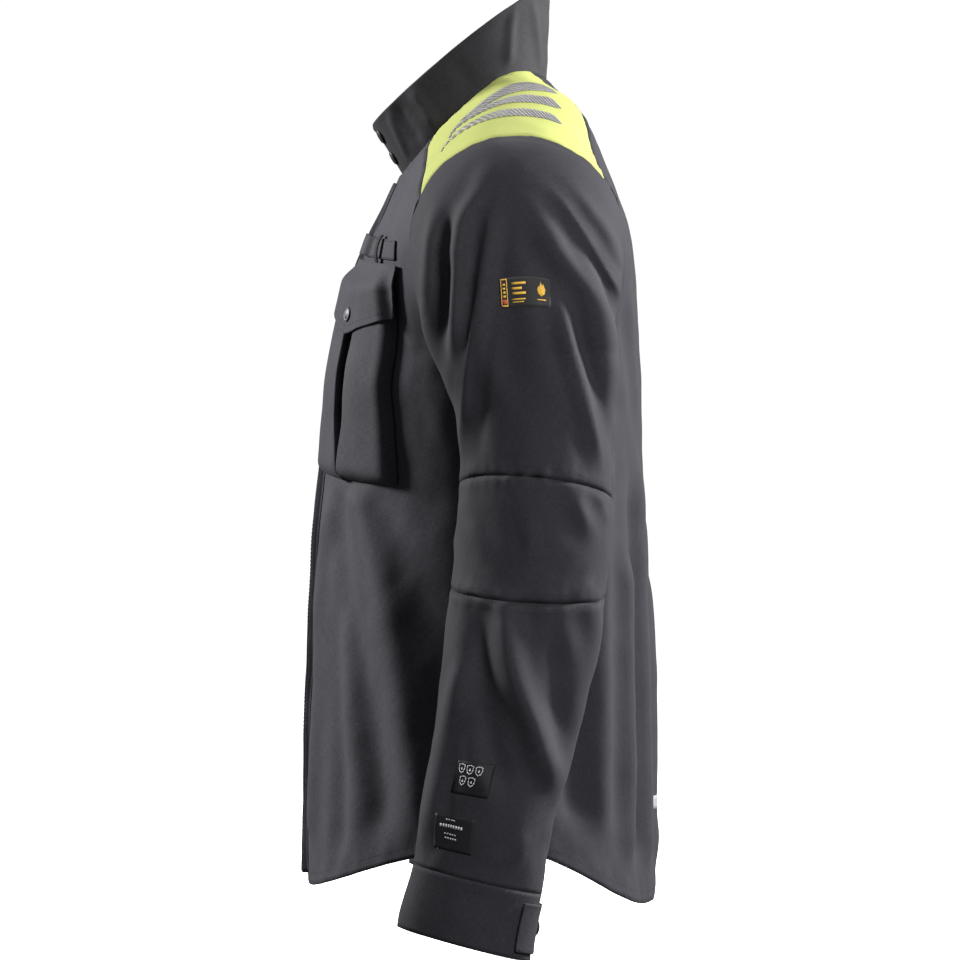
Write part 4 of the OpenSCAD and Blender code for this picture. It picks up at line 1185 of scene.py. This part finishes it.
badge = on_arm(arm_rect(-30.0, -18.0, -12.0, 18.0, 6, 12), 0.75)
piece("badge_cloth", badge, badge_black, 0.7, "left_upper_arm", "badge_cloth", ["arm_badge"], True,
      flat=(0.042, 0.026), rests=["left_upper_sleeve_cloth"])
bars = [arm_rect(s, s + w, b0, b1, 2, 4)
        for s, b0, b1, w in ((-21.4, -5, 3.2, 0.5), (-20.2, -5, 2.0, 0.35), (-21.0, 9.6, 15.0, 0.4))]
bars += [arm_rect(-28.0 + 2.0 * k, -27.1 + 2.0 * k, -4.8, 3.4 - 2.2 * (k == 1), 2, 4) for k in range(3)]
bars += outline(FLAME, -25.2, 12.2, 3.0, 2.6)
tab = [arm_rect(-29.7, -29.2, -11.4, -7.6, 2, 4), arm_rect(-18.9, -18.4, -11.4, -7.6, 2, 4),
       arm_rect(-29.7, -18.4, -11.6, -11.1, 6, 2), arm_rect(-29.7, -18.4, -7.9, -7.4, 6, 2)]
tab += [arm_rect(-27.8 + 1.6 * k, -27.0 + 1.6 * k, -10.4, -8.6, 2, 3) for k in range(4)]
foot = [arm_rect(-21.2, -19.4, -10.8, -8.2, 3, 3)]
for name, marks, lift, mat in (("badge_marks", bars, 1.0, badge_yellow),
                               ("badge_tab_marks", tab, 1.0, badge_yellow),
                               ("badge_tab_foot", foot, 0.98, badge_red)):
    tiles(name, [on_arm(g, lift) for g in marks], mat, 0.4, "left_upper_arm", "badge_cloth")

for name, place, size in (("upper_sleeve_print", (341.0, 369.0, -37.0, -3.0), (0.034, 0.028)),
                          ("lower_sleeve_print", (388.0, 418.0, -47.0, -9.0), (0.035, 0.03))):
    field = on_arm(arm_rect(*place, 12, 14), 0.3)
    piece(name + "_film", field, print_black, 0.28, "left_forearm", "print_film", [name], True, lod=0,
          flat=size, rests=["left_lower_sleeve_cloth"])
white = []
for s, places in ((347.5, (-31.5, -23.5, -15.5)), (357.5, (-28.5, -20.0))):
    for k, b in enumerate(places):
        white += outline(SHIELD, s + 0.25 * k, b, 4.2, 3.4, 0.18)
        white += outline(DROPLET, s + 0.25 * k, b, 2.6, 2.4)
for s, b0, b1, w in ((391.5, -37, -26, 1.0), (396.0, -42, -17, 2.6), (403.5, -37, -23, 1.0),
                     (407.0, -36, -22, 1.2)):
    for k in range(int((b1 - b0) / 2.6)):
        white.append(arm_rect(s, s + w, b0 + k * 2.6, b0 + k * 2.6 + 1.7, 2, 3))
tiles("sleeve_print_marks", [on_arm(g, 0.42) for g in white], print_white, 0.2, "left_forearm", "print_film")

# ---------- small pieces ----------

half = HALF * sin(90 * 0.16)
x, z = mesh_grid((half, -half, 25), (-655, -643, 5))
piece("back_film", torso.over(body(u_of(x), z, False), 0.35), film, 0.3, "torso", "reflective_film",
      ["back_reflector"], lod=0, flat=(0.108, 0.012), rests=["back_cloth"])
u, z = mesh_grid((0.86, 0.80, 5), (-560, -520, 9))
n = unit(np.cross(body(u + 0.004, z, False) - body(u - 0.004, z, False),
                  body(u, z + 1, False) - body(u, z - 1, False)))
inwards = -n * np.sign(n[..., 1:2])
label = body(u, z, False) + inwards * (3.2 + 0.8 * np.sin(z / 9))[..., None]
piece("care_label_cloth", label, label_mat, 0.4, "torso", "label", ["care_label"], flat=(0.0135, 0.04),
      held="hung", rests=["back_cloth"])

TAB_MID = (CUFF_SEAM + CUFF_END + 2) / 2
for side in ("left", "right"):
    right = side == "right"
    b, s = mesh_grid((48, 122, 25), (CUFF_SEAM + 8, CUFF_END - 6, 11))
    s = s - (s - TAB_MID) * 0.35 * soft((b - 108) / 14)
    ends = [tuple(mirrored(arm((CUFF_SEAM + CUFF_END) / 2, b_end), side) * MM) for b_end in (48.0, 64.0)]
    bend = (side + "_forearm", side + "_cuff_tab", *ends)
    piece(side + "_cuff_tab_cloth", sleeve.over(arm(s, b), 2.4), main, 1.3, bend, "main_cloth",
          [side + "_cuff_tab"], True, right, flat=(0.06, 0.04), rests=[side + "_cuff_cloth"])
    lines = [stitch(sleeve, arm(s, lerp(52, 112, t)), 2.6) for s in (CUFF_SEAM + 10.5, CUFF_END - 8.5)]
    sewn(side + "_cuff_tab_stitches", lines, bend, "main_cloth", right)
    a, q = mesh_grid((0, 360, 121), (0, 360, 9))
    r = AR - 3.4 + 1.3 * cos(q)
    tape = mirrored(xyz(HALF - 0.6 + 1.5 * sin(q), AY + r * sin(a), AZ + r * cos(a)), side)
    o = make(side + "_armhole_tape", tape.reshape(-1, 3), grid_faces(9, 121, flip=not right), tape_mat,
             grid_uv(tape, flip=not right))
    settle(o, "torso", "tape", [side + "_armhole_binding"])

# ---------- press studs ----------

# (radius, height)
CAP = [(4.0, -0.4), (6.0, -0.4), (6.35, -0.1), (6.4, 0.45), (6.1, 0.95), (5.6, 1.15), (5.15, 1.1),
       (4.9, 0.95), (4.6, 1.0), (3.6, 1.45), (2.2, 1.75), (0.8, 1.86)]
CAP_SIDES = 40


def caps(name, places, where, nodes):
    """A turned metal cap at each (point, normal)."""
    points, faces = [], []
    for p, n in places:
        n = unit(n)
        e = unit(np.cross(n, [0, 0.3, 1]))
        f = np.cross(n, e)
        first = len(points)
        for r, h in CAP:
            for q in np.arange(CAP_SIDES) * math.tau / CAP_SIDES:
                points.append(p + n * h + r * (e * math.cos(q) + f * math.sin(q)))
        faces += [tuple(v + first for v in fc) for fc in grid_faces(len(CAP), CAP_SIDES, closed=True)]
        faces.append(tuple(range(first, first + CAP_SIDES))[::-1])
        faces.append(tuple(range(len(points) - CAP_SIDES, len(points))))
    settle(make(name, np.array(points), faces, metal), where, "stud_metal", nodes)


for side in ("left", "right"):
    place = torso.lay(mirrored(chest(PMID, PTOP - 44.0), side), FLAP + 1.9)
    caps(side + "_flap_cap", [place], side + "_pocket_flap", [side + "_flap_stud_cap"])
    place = [mirrored(k, side) for k in sleeve.lay(arm(TAB_MID, 104.0), 2.8)]
    caps(side + "_cuff_cap", [place], side + "_cuff_tab", [side + "_cuff_stud_cap"])
caps("collar_caps", list(zip(*collar(np.full(2, 172.0), np.array([0.28, 0.72]), 2.0))), "torso",
     ["collar_stud_caps"])
for name in ("collar_stud_posts", "front_band_stud_sockets", "front_stud_posts", "left_pocket_stud_post",
             "right_pocket_stud_post", "left_cuff_stud_post", "right_cuff_stud_post"):
    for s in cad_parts[name].material_slots:
        s.material = metal

# ---------- stage, lights and camera ----------


def area_light(name, place, size, power):
    d = bpy.data.lights.new(name, "AREA")
    d.energy, d.size = power, size
    o = link(bpy.data.objects.new(name, d))
    o.location = place
    o.rotation_euler = (Vector((0, -0.06, -0.36)) - Vector(place)).to_track_quat("-Z", "Y").to_euler()
    o.visible_camera = False


white_floor = material("floor", Base_Color=(0.9, 0.9, 0.9, 1), Roughness=0.9, Emission_Color=(1, 1, 1, 1),
                       Emission_Strength=1.0)[0]
corners = np.array([(-60, -60, -0.8), (60, -60, -0.8), (60, 60, -0.8), (-60, 60, -0.8)]) / MM
floor = make("floor", corners, [(0, 1, 2, 3)], white_floor)
floor.visible_diffuse = floor.visible_glossy = False  # the backdrop is bright, but lights nothing
world = SCENE.world or bpy.data.worlds.new("world")
SCENE.world = world
world.use_nodes = True
background = world.node_tree.nodes["Background"]
camera_ray = node(world.node_tree, "LightPath").outputs["Is Camera Ray"]
# the world's strength as a light, and as the backdrop
sky = node(world.node_tree, "MapRange", (0, camera_ray), To_Min=0.12, To_Max=1.02)
world.node_tree.links.new(sky.outputs[0], background.inputs[1])
background.inputs[0].default_value = (1, 1, 1, 1)
SCENE.view_settings.view_transform = "Standard"
area_light("left side", (-0.8, -2.8, 0.9), 0.6, 175)
area_light("right side", (-0.6, 2.7, 0.8), 0.6, 240)
area_light("top", (0.5, -0.2, 2.4), 0.9, 16)
area_light("fill", (3.3, 1.9, 0.9), 0.9, 135)

cam = bpy.data.cameras.new("camera")
cam.lens, cam.sensor_width = 158.3, 36
camera = link(bpy.data.objects.new("camera", cam))
camera.location = (3.8, -0.0585, -0.3618)
camera.rotation_euler = (math.radians(90), 0, math.radians(90))
SCENE.camera = camera
